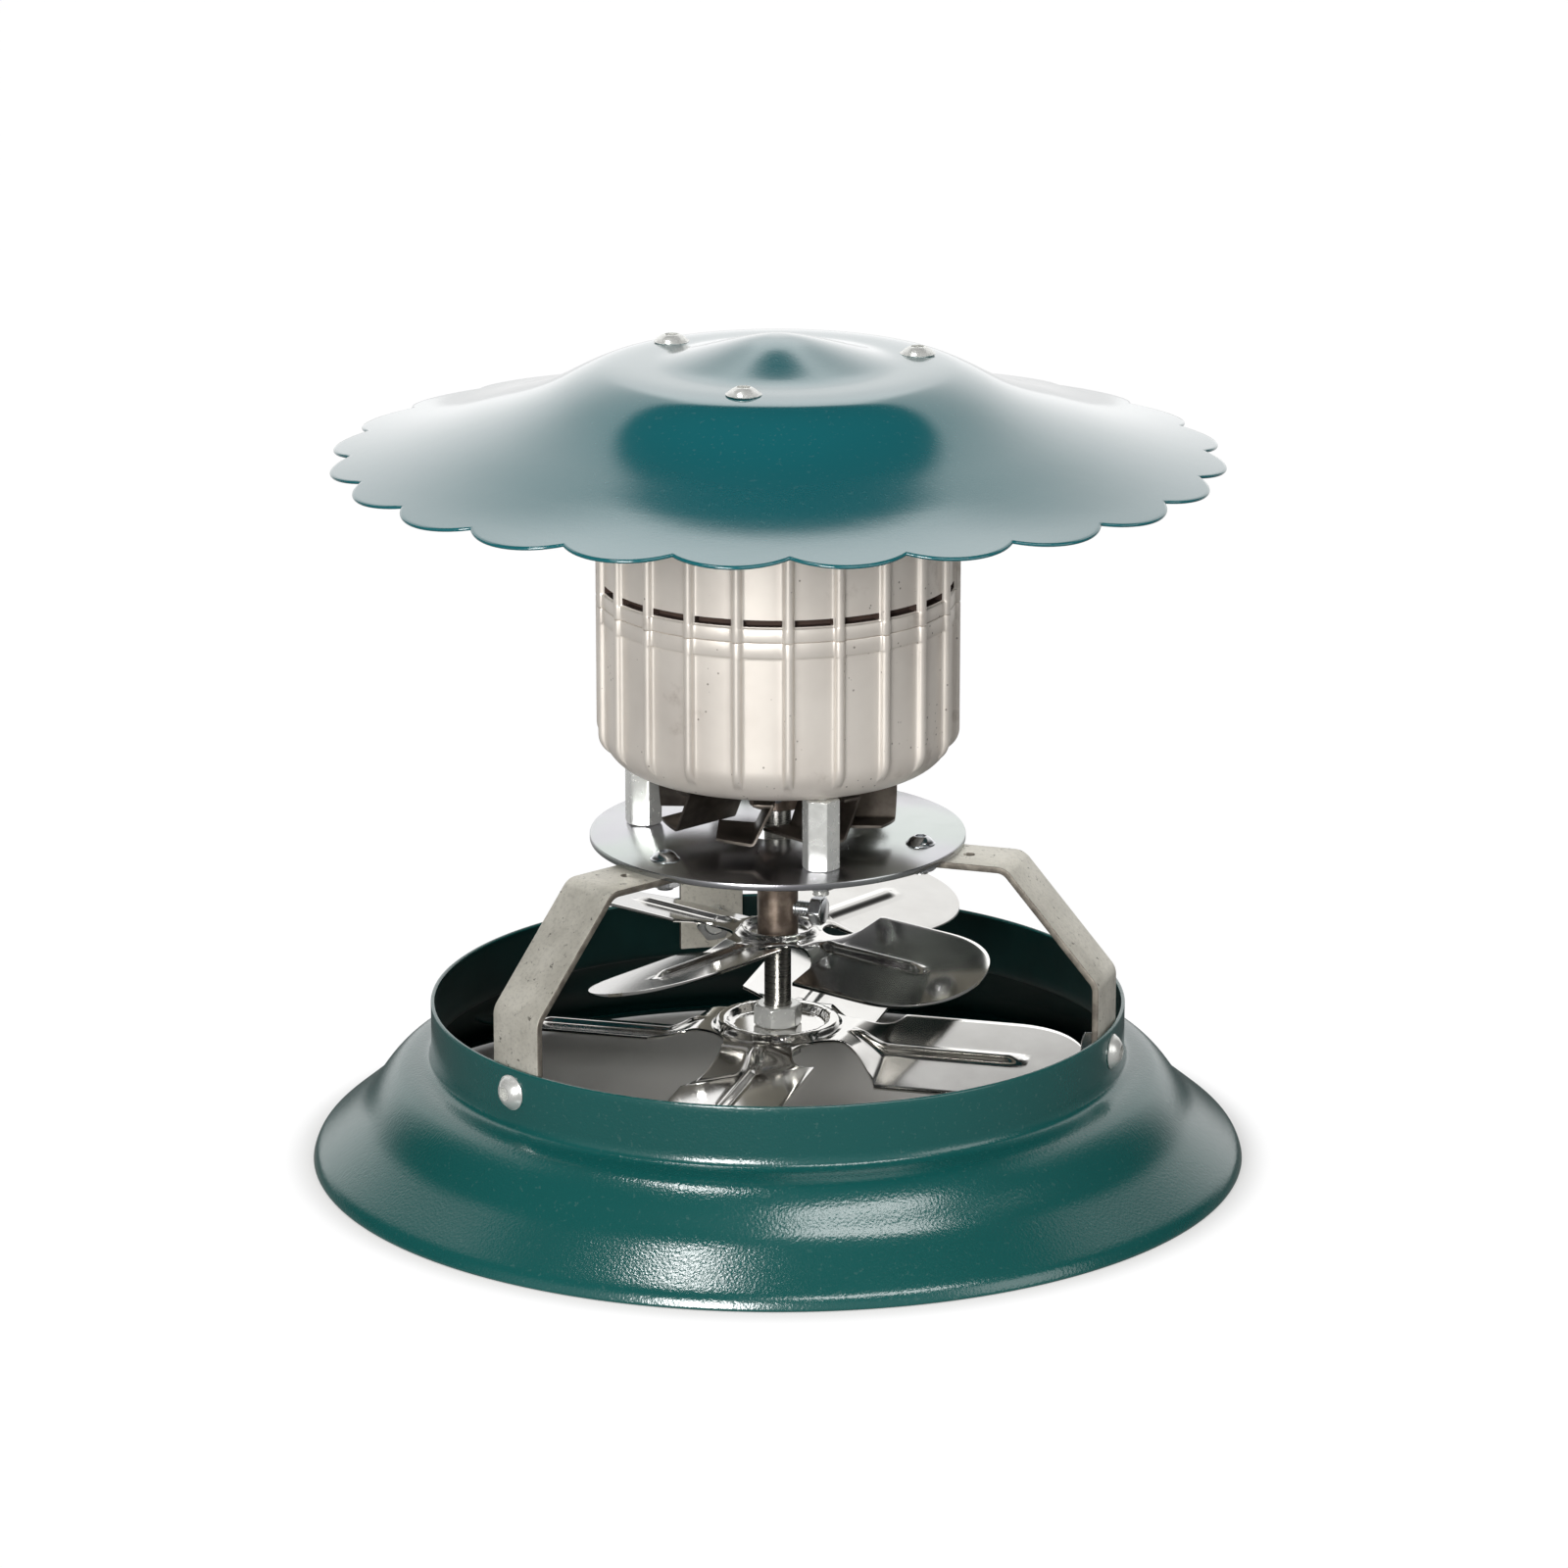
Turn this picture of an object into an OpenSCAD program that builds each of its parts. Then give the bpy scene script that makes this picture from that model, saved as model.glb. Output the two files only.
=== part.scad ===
// Chimney draught fan: a motor under a rain cap draws flue gas up through a flared collar.
// Millimetres, +Z up. The origin is the centre of the rim that stands on the flue.
// Angles run counter-clockwise from +X when seen from above.

/* [Base collar] */
// Outer diameter of the rim that stands on the flue
rim_d = 280; // [250:1:320]
// Outer diameter of the upright neck
neck_d = 208; // [196:1:224]
// Height of the top edge of the neck
collar_h = 49; // [44:1:60]
// Height of the crease between the neck and the flare
crease_z = 31; // [27:1:34]
// Thickness of the spun sheet
collar_t = 1.2; // [0.8:0.1:1.6]
// Width of the flat lip turned in under the rim
rim_lip = 4; // [3:0.5:8]

/* [Straps] */
// Width of each bent strap
strap_w = 20; // [14:1:24]
// Thickness of the strap
strap_t = 2; // [1.5:0.1:2.5]
// Length of strap inside the neck, below its top edge
strap_foot = 16; // [15:0.5:18]
// Height of the lower bend above the neck
strap_knee = 15.5; // [12:0.5:20]
// Distance of the upper bend outside the mounting plate
strap_reach = 17; // [14:0.5:20]
// Length of strap under the mounting plate
strap_lap = 18; // [16:0.5:20]
// Bend radius along the middle of the strap
strap_bend = 5; // [4:0.5:7]
// Direction of the first strap
strap_angle = 222; // [200:1:240]

/* [Mounting plate] */
// Diameter of the plate under the motor
plate_d = 112; // [108:1:118]
// Thickness of the plate
plate_t = 2; // [1.5:0.1:3]
// Height of the underside of the plate above the neck
plate_rise = 49.5; // [46:0.5:56]
// Diameter of the opening that the shaft runs through
plate_bore = 20; // [16:1:24]
// Distance of the strap screws from the edge of the plate
plate_screw_inset = 11.5; // [11:0.5:13]

/* [Motor] */
// Diameter over the ribs
motor_d = 108; // [106:1:112]
// Height of the lower shell
lower_shell_h = 50; // [46:1:54]
// Height of the upper shell
upper_shell_h = 50; // [46:1:54]
// Wall of the die-cast shells
shell_wall = 2.8; // [2.4:0.1:3.4]
// Radius of the rounded shell corner
shell_corner = 11; // [10:0.5:14]
// Number of cooling ribs around each shell
rib_count = 22; // [16:1:26]
// Width of a rib
rib_w = 2.8; // [2:0.1:3.2]
// Height of a rib above the wall
rib_h = 2; // [1.4:0.1:2.6]
// Height of the thick band below the joint of the shells
flange_h = 4.8; // [4:0.2:6]
// Height of the thick band above the joint, up to the vent slots
slot_rise = 4.2; // [3.6:0.2:6]
// Height of each vent slot
slot_h = 1.6; // [1:0.1:2.4]
// Length of the hexagonal pillars under the motor
pillar_h = 21.5; // [20.5:0.5:26]
// Width across the flats of a pillar
pillar_af = 8; // [7:0.5:9]
// Height of the bosses between the motor and the cap
boss_h = 19.5; // [17:0.5:24]

/* [Rain cap] */
// Diameter over the scallops
cap_d = 263; // [240:1:290]
// Thickness of the cap sheet
cap_t = 1; // [0.8:0.1:1.4]
// Number of scallops
scallops = 24; // [20:1:28]
// Depth of the scallops
scallop_depth = 6.4; // [5:0.1:8]
// Height of the central dome above the screw seats
dome_rise = 8; // [6:0.5:12]
// Fall from the screw seats to the rim
cap_drop = 28; // [24:0.5:34]

/* [Impellers] */
// Thickness of the stamped impeller sheet
imp_t = 1; // [0.8:0.1:1.4]
// Number of blades on each impeller
blades = 4; // [3:1:5]
// Gap between the lower blades and the nuts inside the neck
tip_gap = 1; // [0.8:0.1:5]
// How much shorter the upper blades are
tip_step = 19; // [17:0.5:24]
// Half width of a lower blade
lower_half_w = 20.5; // [18:0.5:22]
// Half width of an upper blade
upper_half_w = 21; // [18:0.5:22]
// Pitch of the lower blades
lower_pitch = 13; // [10:1:18]
// Pitch of the upper blades
upper_pitch = 14; // [10:1:18]
// Drop of a lower blade below its hub
lower_step = 5.5; // [4:0.5:7]
// Drop of an upper blade below its hub
upper_step = 1; // [0.5:0.5:2]
// Height of the pressed rib along a blade
blade_rib_h = 1.6; // [1:0.1:2]
// Direction of the first lower blade
lower_angle = 345; // [0:1:359]
// Direction of the first upper blade
upper_angle = 320; // [0:1:359]
// Distance from the plate down to the upper hub
upper_drop = 29.5; // [28:0.5:31]
// Distance from the plate down to the lower hub
lower_drop = 58.5; // [56:0.5:60]

/* [Cooling fan] */
// Number of folded blades
vanes = 8; // [6:1:9]
// Radius over the folded blades
vane_r = 35.5; // [33:0.5:36]
// Depth of the folded blades
vane_h = 12.5; // [10:0.5:13]
// Width of the lip folded along the foot of a blade
vane_lip = 11; // [8:0.5:12]
// Thickness of the sheet
vane_t = 0.8; // [0.6:0.1:1]

/* [Shaft and fasteners] */
// Shaft diameter
shaft_d = 8; // [7:0.5:8.5]
// Outer diameter of the bush that carries the upper impeller
bush_d = 12.2; // [12:0.2:14]
// Diameter of the button-head screws through the collar and the cap
screw_d = 6; // [5:0.5:6.5]
// Diameter of the screws and studs in the plate
small_screw_d = 5; // [4:0.5:5]

/* [Hidden] */

// One overrun serves every cut.
over = 1;
// Clearance round a screw in its hole, and round a running shaft
fit = 0.05;
// Clearance between pieces that must not rub
gap = 0.4;
round_fn = 96;
small_fn = 32;

// The collar's flare: shares of the way out from neck to rim, and of the crease height
flare_share = [[0, 1.11], [0.033, 1.035], [0.11, 1], [0.21, 0.97], [0.30, 0.925], [0.415, 0.81],
    [0.487, 0.70], [0.533, 0.615], [0.573, 0.54], [0.645, 0.432], [0.745, 0.332], [0.847, 0.232],
    [0.93, 0.139], [0.98, 0.058], [1, 0]];
neck_r = neck_d / 2;
neck_in_r = neck_r - collar_t;
rim_r = rim_d / 2;

// Straps: three, evenly spaced
strap_count = 3;
foot_x = sqrt(pow(neck_in_r, 2) - pow(strap_w / 2, 2)) - fit;
plate_z = collar_h + plate_rise;
plate_top = plate_z + plate_t;
plate_r = plate_d / 2;
plate_screw_r = plate_r - plate_screw_inset;
// Height of the collar screws, at the middle of each strap foot
neck_screw_share = 0.45;
neck_screw_z = collar_h - strap_foot * neck_screw_share;
// Small hole left in each strap just outside the plate
spare_hole_d = 3.5;
spare_hole_inset = 3.5;

// Screw sizes follow their diameter
head_share = 1.75;
head_h_share = 0.55;
socket_share = 0.62;
nut_share = 1.65;
nut_h_share = 0.8;
nut_round_share = 0.66;

// Motor heights and radii
motor_r = motor_d / 2;
motor_z = plate_top + pillar_h;
joint_z = motor_z + lower_shell_h;
motor_top = joint_z + upper_shell_h;
wall_r = motor_r - rib_h;
band_step = 0.6;
seat_r = wall_r - shell_wall;
ledge = 2.5;
stack_h = 38;
stack_z = joint_z - stack_h / 2;
rib_angle = 273.5;
rib_end = 4.5;
rib_corner = 7;
slot_w = 2 * wall_r * sin(180 / rib_count) - rib_w - 2 * gap;
pillar_inset = 13;
pillar_r = motor_r - pillar_inset;
pillar_angle = strap_angle + 66;
// Studs of the pillars stand this far past their nuts.
stud_past = 2;
bolt_d = 4;
bolt_angle = strap_angle + 95;
bolt_boss_d = 10;
bolt_pad = 1;
boss_d = 12;
inner_boss_h = 9;

// Bearings, rotor and stator
bearing_d = 22;
bearing_h = 7;
bearing_inset = 4;
bearing_wall = 4;
shoulder_d = shaft_d + 2;
stator_bore = 47;
coil_d = 7.6;
coil_r = 30.5;
coil_count = 12;
coil_mouth = 3;
end_turn_h = 9;
end_turn_w = 9;
cage_h = 7;

// Rain cap
cap_screw_angle = strap_angle - 205;
cap_screw_inset = 11;
cap_screw_r = motor_r - cap_screw_inset;
cap_screw_reach_share = 0.7;
cap_r = cap_d / 2;
cap_under = motor_top + boss_h;
cap_seat_z = cap_under + cap_t;
scallop_turn = 212.9;
lobe_angle = strap_angle - scallop_turn;
// Shares of the screw radius, and of the dome's rise
dome_share = [[0, 1], [0.15, 0.975], [0.29, 0.885], [0.52, 0.64], [0.73, 0.27], [0.835, 0.04],
    [0.86, 0], [0.875, 0], [1, 0]];
// Shares of the way out from the screws to the rim, and of the fall
skirt_share = [[0, 0], [0.06, 0], [0.075, 0], [0.115, 0.025], [0.197, 0.137], [0.309, 0.336], [0.421, 0.487],
    [0.556, 0.625], [0.702, 0.765], [0.848, 0.888], [1, 1]];

// Impellers
lower_tip = foot_x - strap_t - screw_d * nut_h_share - tip_gap;
upper_tip = lower_tip - tip_step;
upper_z = plate_z - upper_drop;
lower_z = plate_z - lower_drop;
lower_hub_r = 20.5;
upper_hub_r = 13.5;
// Radius of the hollow between two neighbouring blades
lower_scoop = 12;
upper_scoop = 8;
ring_rise = 2;
// Where the raised ring of a hub begins and ends
ring_in_share = 0.75;
ring_margin = 1;
// Half the width of a pressed rib, its fade at both ends, and how far it stops from the tip
rib_half = 2.4;
rib_half_share = 0.6;
rib_fade_in = 6;
rib_fade_out = 5;
rib_stop_share = 0.9;
// A blade begins to round off this share of its half width before the tip.
tip_share = 1.3;
tip_power = 2.4;
scoop_share = 0.97;

// Shaft ends, bush and their screws
shaft_nut_d = shaft_d;
shaft_nut_h = 6.5;
shaft_nut_af = 13;
washer_t = 1.6;
washer_d = 16;
shaft_past = 3;
shaft_short = 1;
shaft_end = lower_z - imp_t - washer_t - shaft_nut_h - shaft_past;
shaft_top = motor_top - bearing_inset - shaft_short;
bush_h = 23;
bush_neck_d = 10;
bush_foot = 1;
bush_screw_d = 5;
bush_screw_rise = 8;
bush_screw_z = upper_z + bush_screw_rise;
bush_screw_angle = 338;
bush_screw_len = 5;

// Cooling fan
vane_drop = 3.5;
vane_z = motor_z - vane_drop;
vane_angle = 268;
vane_lean = 6;
vane_root = 12;
fan_disc_r = 14;
// The fan's blank is round, and its folded corners clear the pillars.
fan_blank_r = pillar_r - pillar_af / 2 / cos(30) - 2 * gap;
fan_hub_d = 17;
fan_hub_h = 9;

// Cable gland on the top of the motor
gland_d = 12;
gland_af = 15;
gland_h = 5;
gland_nut_af = 16;
gland_nut_h = 4;
gland_r = 26;
gland_bore = 7;
gland_angle = 90;

function unit(v) = v / norm(v);
function left(v) = [-v[1], v[0]];
function flip(list) = [for (i = [len(list) - 1:-1:0]) list[i]];
function ease(t) = let(s = min(max(t, 0), 1)) s * s * (3 - 2 * s);

// Smooth curve through the knots p, with a few points from each knot to the next
function curve(p, steps) = [
    for (i = [0:len(p) - 2])
        let(a = p[max(i - 1, 0)], b = p[i], c = p[i + 1], d = p[min(i + 2, len(p) - 1)])
            for (k = [0:steps - 1])
                let(t = k / steps)
                    (2 * b + (c - a) * t + (2 * a - 5 * b + 4 * c - d) * t * t
                        + (3 * b - a - 3 * c + d) * t * t * t) / 2,
    p[len(p) - 1]];

// Places and directions along a strip with corners of radius r
function bent(p, r, steps) = [
    [p[0], unit(p[1] - p[0])],
    for (i = [1:len(p) - 2])
        let(a = unit(p[i] - p[i - 1]), b = unit(p[i + 1] - p[i]),
            turn = atan2(a[0] * b[1] - a[1] * b[0], a * b), side = sign(turn),
            start = p[i] - a * r * tan(abs(turn) / 2), centre = start + left(a) * r * side)
            for (k = [0:steps])
                let(t = turn * k / steps,
                    d = [a[0] * cos(t) - a[1] * sin(t), a[0] * sin(t) + a[1] * cos(t)])
                    [centre - left(d) * r * side, d],
    [p[len(p) - 1], unit(p[len(p) - 1] - p[len(p) - 2])]];

// Outline of a strip of thickness t along those places
function strip(path, t) = concat(
    [for (s = path) s[0] + left(s[1]) * t / 2],
    flip([for (s = path) s[0] - left(s[1]) * t / 2]));

// Repeats its children around the axis
module around(count, start) {
    for (i = [0:count - 1])
        rotate([0, 0, start + i * 360 / count]) children();
}

module ring(outer_r, inner_r, h) {
    difference() {
        cylinder(r = outer_r, h = h, $fn = round_fn);
        translate([0, 0, -over]) cylinder(r = inner_r, h = h + 2 * over, $fn = round_fn);
    }
}

module hex(af, h) {
    cylinder(d = af / cos(30), h = h, $fn = 6);
}

// Button-head screw along -Z, with the underside of its head at the origin
module button_screw(d, len) {
    head_r = d * head_share / 2;
    head_h = d * head_h_share;
    dome_r = (pow(head_r, 2) + pow(head_h, 2)) / (2 * head_h);
    difference() {
        intersection() {
            translate([0, 0, head_h - dome_r]) sphere(r = dome_r, $fn = small_fn);
            cylinder(r = head_r, h = head_h, $fn = small_fn);
        }
        translate([0, 0, head_h / 2]) hex(d * socket_share, head_h);
    }
    translate([0, 0, -len]) cylinder(d = d, h = len + head_h / 4, $fn = small_fn);
}

// Hexagonal nut whose upper face is at the origin
module nut(d, af, h) {
    translate([0, 0, -h]) difference() {
        intersection() {
            hex(af, h);
            translate([0, 0, h / 2]) sphere(r = af * nut_round_share, $fn = small_fn);
        }
        translate([0, 0, -over]) cylinder(d = d + 2 * fit, h = h + 2 * over, $fn = small_fn);
    }
}

module base_collar() {
    span = rim_r - neck_r;
    outer = concat([[neck_r, collar_h]],
        curve([for (s = flare_share) [neck_r + s[0] * span, s[1] * crease_z]], 2));
    last = len(outer) - 1;
    inner = [for (i = [0:last])
        let(along = unit(outer[min(i + 1, last)] - outer[max(i - 1, 0)]),
            p = outer[i] - (i == 0 ? [1, 0] : i == last ? [1, 0] : left(along)) * collar_t)
            [p[0], i == 0 ? collar_h : max(p[1], collar_t)]];
    lip = [[rim_r - rim_lip, 0], [rim_r - rim_lip, collar_t]];
    color("#1f4f4e") difference() {
        rotate_extrude($fn = round_fn) polygon(concat(outer, lip, flip(inner)));
        around(strap_count, strap_angle) translate([neck_in_r - over, 0, neck_screw_z])
            rotate([0, 90, 0]) cylinder(d = screw_d + 2 * fit, h = collar_t + 3 * over, $fn = small_fn);
    }
}

// A strap stands inside the neck, leans in over the impellers and laps under the plate.
module strap(index) {
    middle_x = foot_x - strap_t / 2;
    middle_z = plate_z - strap_t / 2;
    path = bent([
        [middle_x, collar_h - strap_foot],
        [middle_x, collar_h + strap_knee],
        [plate_r + strap_reach, middle_z],
        [plate_r - strap_lap, middle_z]], strap_bend, 6);
    color("#a9a79c") rotate([0, 0, strap_angle + index * 360 / strap_count]) difference() {
        rotate([90, 0, 0]) translate([0, 0, -strap_w / 2])
            linear_extrude(strap_w) polygon(strip(path, strap_t));
        translate([foot_x - strap_t - over, 0, neck_screw_z]) rotate([0, 90, 0])
            cylinder(d = screw_d + 2 * fit, h = strap_t + 2 * over, $fn = small_fn);
        translate([plate_screw_r, 0, middle_z - strap_t])
            cylinder(d = small_screw_d + 2 * fit, h = 2 * strap_t, $fn = small_fn);
        translate([plate_r + spare_hole_inset, 0, middle_z - strap_t])
            cylinder(d = spare_hole_d, h = 2 * strap_t, $fn = small_fn);
    }
}

module collar_screws() {
    grip = neck_r - foot_x + strap_t;
    color("#d9dbdc") around(strap_count, strap_angle) translate([neck_r, 0, neck_screw_z])
        rotate([0, 90, 0]) button_screw(screw_d, grip + screw_d * nut_h_share + gap);
}

module collar_nuts() {
    color("#cfd1d2") around(strap_count, strap_angle)
        translate([foot_x - strap_t, 0, neck_screw_z]) rotate([0, 90, 0])
            nut(screw_d, screw_d * nut_share, screw_d * nut_h_share);
}

module mounting_plate() {
    color("#c9d0d2") difference() {
        translate([0, 0, plate_z]) ring(plate_r, plate_bore / 2, plate_t);
        around(strap_count, strap_angle) translate([plate_screw_r, 0, plate_z - over])
            cylinder(d = small_screw_d + 2 * fit, h = plate_t + 2 * over, $fn = small_fn);
        around(strap_count, pillar_angle) translate([pillar_r, 0, plate_z - over])
            cylinder(d = small_screw_d + 2 * fit, h = plate_t + 2 * over, $fn = small_fn);
    }
}

module plate_screws() {
    color("#d9dbdc") around(strap_count, strap_angle) translate([plate_screw_r, 0, plate_top])
        button_screw(small_screw_d, plate_t + strap_t + small_screw_d);
}

module plate_nuts() {
    color("#cfd1d2") around(strap_count, strap_angle)
        translate([plate_screw_r, 0, plate_z - strap_t])
            nut(small_screw_d, small_screw_d * nut_share, small_screw_d * nut_h_share);
}

// Each pillar has a stud below, through the plate, and a stud above, in the motor.
module pillars() {
    stud_down = plate_t + small_screw_d * nut_h_share + stud_past;
    stud_up = inner_boss_h;
    color("#dfe1e1") around(strap_count, pillar_angle) translate([pillar_r, 0, plate_top]) {
        hex(pillar_af, pillar_h);
        translate([0, 0, -stud_down])
            cylinder(d = small_screw_d, h = stud_down + pillar_h + stud_up, $fn = small_fn);
    }
}

module pillar_nuts() {
    color("#cfd1d2") around(strap_count, pillar_angle) translate([pillar_r, 0, plate_z])
        nut(small_screw_d, pillar_af, small_screw_d * nut_h_share);
}

// Quarter-round points from straight down to straight out, for a lower corner
function corner(r, x, z, steps) = [for (k = [0:steps]) let(a = -90 + 90 * k / steps)
    [x + r * cos(a), z + r * sin(a)]];

// Upright cooling ribs with rounded noses, from the radius root outwards
module ribs(root, z, h) {
    around(rib_count, rib_angle) translate([0, 0, z]) {
        translate([motor_r - rib_w / 2, 0, 0]) cylinder(d = rib_w, h = h, $fn = small_fn);
        translate([root, -rib_w / 2, 0]) cube([motor_r - rib_w / 2 - root, rib_w, h]);
    }
}

// One die-cast shell, drawn as the lower one: floor at the origin, joint at height h
module shell_body(h, band_h) {
    inner_corner = max(shell_corner - shell_wall, over);
    difference() {
        union() {
            rotate_extrude($fn = round_fn) polygon(concat([[0, 0]],
                corner(shell_corner, wall_r - shell_corner, shell_corner, 8),
                [[wall_r, h - band_h], [wall_r + band_step, h - band_h],
                    [wall_r + band_step, h], [0, h]]));
            intersection() {
                ribs(wall_r - shell_corner, rib_end, h - rib_end);
                rotate_extrude($fn = round_fn) polygon(concat([[0, rib_end]],
                    corner(rib_corner, motor_r - rib_corner, rib_end + rib_corner, 6),
                    [[motor_r, h], [0, h]]));
            }
        }
        rotate_extrude($fn = round_fn) polygon(concat([[0, shell_wall]],
            corner(inner_corner, seat_r - ledge - inner_corner, shell_wall + inner_corner, 8),
            [[seat_r - ledge, h - stack_h / 2], [seat_r, h - stack_h / 2],
                [seat_r, h + over], [0, h + over]]));
    }
}

module bearing_seat() {
    translate([0, 0, shell_wall / 2])
        cylinder(r = bearing_d / 2 + bearing_wall, h = bearing_inset + bearing_h - shell_wall / 2,
            $fn = round_fn);
}

module bearing_hollow() {
    translate([0, 0, bearing_inset])
        cylinder(r = bearing_d / 2 + fit / 2, h = bearing_h + over, $fn = round_fn);
}

module motor_lower_shell() {
    color("#c8c2ba") translate([0, 0, motor_z]) difference() {
        union() {
            shell_body(lower_shell_h, flange_h);
            bearing_seat();
            around(strap_count, pillar_angle) translate([pillar_r, 0, shell_wall / 2])
                cylinder(d = 2 * small_screw_d, h = inner_boss_h + shell_wall / 2, $fn = small_fn);
            around(strap_count, bolt_angle) translate([pillar_r, 0, shell_wall / 2])
                cylinder(d = bolt_boss_d, h = 2 * inner_boss_h, $fn = small_fn);
        }
        bearing_hollow();
        translate([0, 0, -over])
            cylinder(r = bearing_d / 2 - ledge, h = bearing_inset + 2 * over, $fn = round_fn);
        around(strap_count, pillar_angle) translate([pillar_r, 0, -over])
            cylinder(d = small_screw_d + 2 * fit, h = inner_boss_h + over + fit, $fn = small_fn);
        around(strap_count, bolt_angle) translate([pillar_r, 0, shell_wall])
            cylinder(d = bolt_d + 2 * fit, h = lower_shell_h, $fn = small_fn);
    }
}

module motor_upper_shell() {
    color("#cbc5bd") difference() {
        translate([0, 0, motor_top]) mirror([0, 0, 1]) difference() {
            union() {
                difference() {
                    shell_body(upper_shell_h, slot_rise);
                    around(rib_count, rib_angle + 180 / rib_count)
                        translate([wall_r - ledge - shell_wall, -slot_w / 2,
                            upper_shell_h - slot_rise - gap - slot_h])
                            cube([ledge + 2 * shell_wall, slot_w, slot_h]);
                }
                bearing_seat();
                around(strap_count, cap_screw_angle) translate([cap_screw_r, 0, -boss_h])
                    cylinder(d = boss_d, h = boss_h + inner_boss_h, $fn = small_fn);
                around(strap_count, bolt_angle) translate([pillar_r, 0, -bolt_pad])
                    cylinder(d = bolt_boss_d, h = bolt_pad + inner_boss_h, $fn = small_fn);
            }
            bearing_hollow();
            around(strap_count, bolt_angle) translate([pillar_r, 0, -2 * over])
                cylinder(d = bolt_d + 2 * fit, h = inner_boss_h + 4 * over, $fn = small_fn);
            around(strap_count, cap_screw_angle) translate([cap_screw_r, 0, -boss_h - over])
                cylinder(d = screw_d + 2 * fit, h = boss_h, $fn = small_fn);
        }
        rotate([0, 0, gland_angle]) translate([gland_r, 0, motor_top - shell_wall - over])
            cylinder(d = gland_d + 2 * fit, h = shell_wall + 2 * over, $fn = small_fn);
    }
}

// Long bolts hold the two shells together from above.
module motor_bolts() {
    reach = motor_top + bolt_pad - motor_z - 2 * shell_wall;
    color("#d2d4d5") around(strap_count, bolt_angle) translate([pillar_r, 0, motor_top + bolt_pad])
        button_screw(bolt_d, reach);
}

module stator_core() {
    color("#6d6f72") translate([0, 0, stack_z]) difference() {
        ring(seat_r - fit, stator_bore / 2, stack_h);
        around(coil_count, 0) {
            translate([coil_r, 0, -over]) cylinder(d = coil_d, h = stack_h + 2 * over, $fn = small_fn);
            translate([0, -coil_mouth / 2, -over]) cube([coil_r, coil_mouth, stack_h + 2 * over]);
        }
        around(strap_count, bolt_angle) translate([pillar_r, 0, -over])
            cylinder(d = bolt_d + 4 * fit, h = stack_h + 2 * over, $fn = small_fn);
    }
}

module windings() {
    inner = coil_r - end_turn_w / 2;
    color("#b06a35") {
        around(coil_count, 0) translate([coil_r, 0, stack_z - over])
            cylinder(d = coil_d - 2 * gap, h = stack_h + 2 * over, $fn = small_fn);
        translate([0, 0, stack_z + stack_h + fit]) ring(inner + end_turn_w, inner, end_turn_h);
        translate([0, 0, stack_z - end_turn_h - fit]) ring(inner + end_turn_w, inner, end_turn_h);
    }
}

module bearing(z) {
    groove_in = shaft_d / 2 + (bearing_d - shaft_d) / 8;
    groove_out = bearing_d / 2 - (bearing_d - shaft_d) / 8;
    color("#b9bcbf") translate([0, 0, z]) difference() {
        ring(bearing_d / 2, shaft_d / 2 + fit / 2, bearing_h);
        translate([0, 0, bearing_h - gap]) ring(groove_out, groove_in, gap + over);
        translate([0, 0, -over]) ring(groove_out, groove_in, gap + over);
    }
}

// Cable gland on the motor: the body goes through the wall, and the nut clamps it inside.
module gland_body() {
    color("#33373a") rotate([0, 0, gland_angle]) translate([gland_r, 0, motor_top])
        difference() {
            union() {
                hex(gland_af, gland_h);
                translate([0, 0, -shell_wall - gland_h])
                    cylinder(d = gland_d, h = shell_wall + 2 * gland_h + gland_h, $fn = small_fn);
            }
            translate([0, 0, -shell_wall - gland_h - over])
                cylinder(d = gland_bore, h = shell_wall + 3 * gland_h + 2 * over, $fn = small_fn);
        }
}

module gland_nut() {
    color("#33373a") rotate([0, 0, gland_angle]) translate([gland_r, 0, motor_top - shell_wall])
        nut(gland_d, gland_nut_af, gland_nut_h);
}

module rain_cap() {
    top = concat(
        curve([for (s = dome_share) [s[0] * cap_screw_r, cap_seat_z + s[1] * dome_rise]], 2),
        [for (p = curve([for (s = skirt_share)
            [cap_screw_r + s[0] * (cap_r - cap_screw_r), cap_seat_z - s[1] * cap_drop]], 2))
            if (p[0] > cap_screw_r) p]);
    under = [for (p = top) [p[0], p[1] - cap_t]];
    // Each scallop is an arc from one cusp to the next.
    cusp_r = cap_r - scallop_depth;
    half_chord = cusp_r * sin(180 / scallops);
    web_r = cusp_r * cos(180 / scallops);
    bulge = cap_r - web_r;
    lobe_r = (pow(half_chord, 2) + pow(bulge, 2)) / (2 * bulge);
    color("#24595c") difference() {
        intersection() {
            rotate_extrude($fn = round_fn) polygon(concat(top, flip(under)));
            translate([0, 0, cap_seat_z - cap_drop - 2 * cap_t]) union() {
                cylinder(r = web_r, h = cap_drop + dome_rise + 4 * cap_t, $fn = round_fn);
                around(scallops, lobe_angle) translate([cap_r - lobe_r, 0, 0])
                    cylinder(r = lobe_r, h = cap_drop + dome_rise + 4 * cap_t, $fn = small_fn);
            }
        }
        around(strap_count, cap_screw_angle) translate([cap_screw_r, 0, cap_under - 2 * cap_t])
            cylinder(d = screw_d + 2 * fit, h = 4 * cap_t, $fn = small_fn);
    }
}

module cap_screws() {
    color("#d9dbdc") around(strap_count, cap_screw_angle)
        translate([cap_screw_r, 0, cap_seat_z]) button_screw(screw_d, boss_h * cap_screw_reach_share);
}

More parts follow.
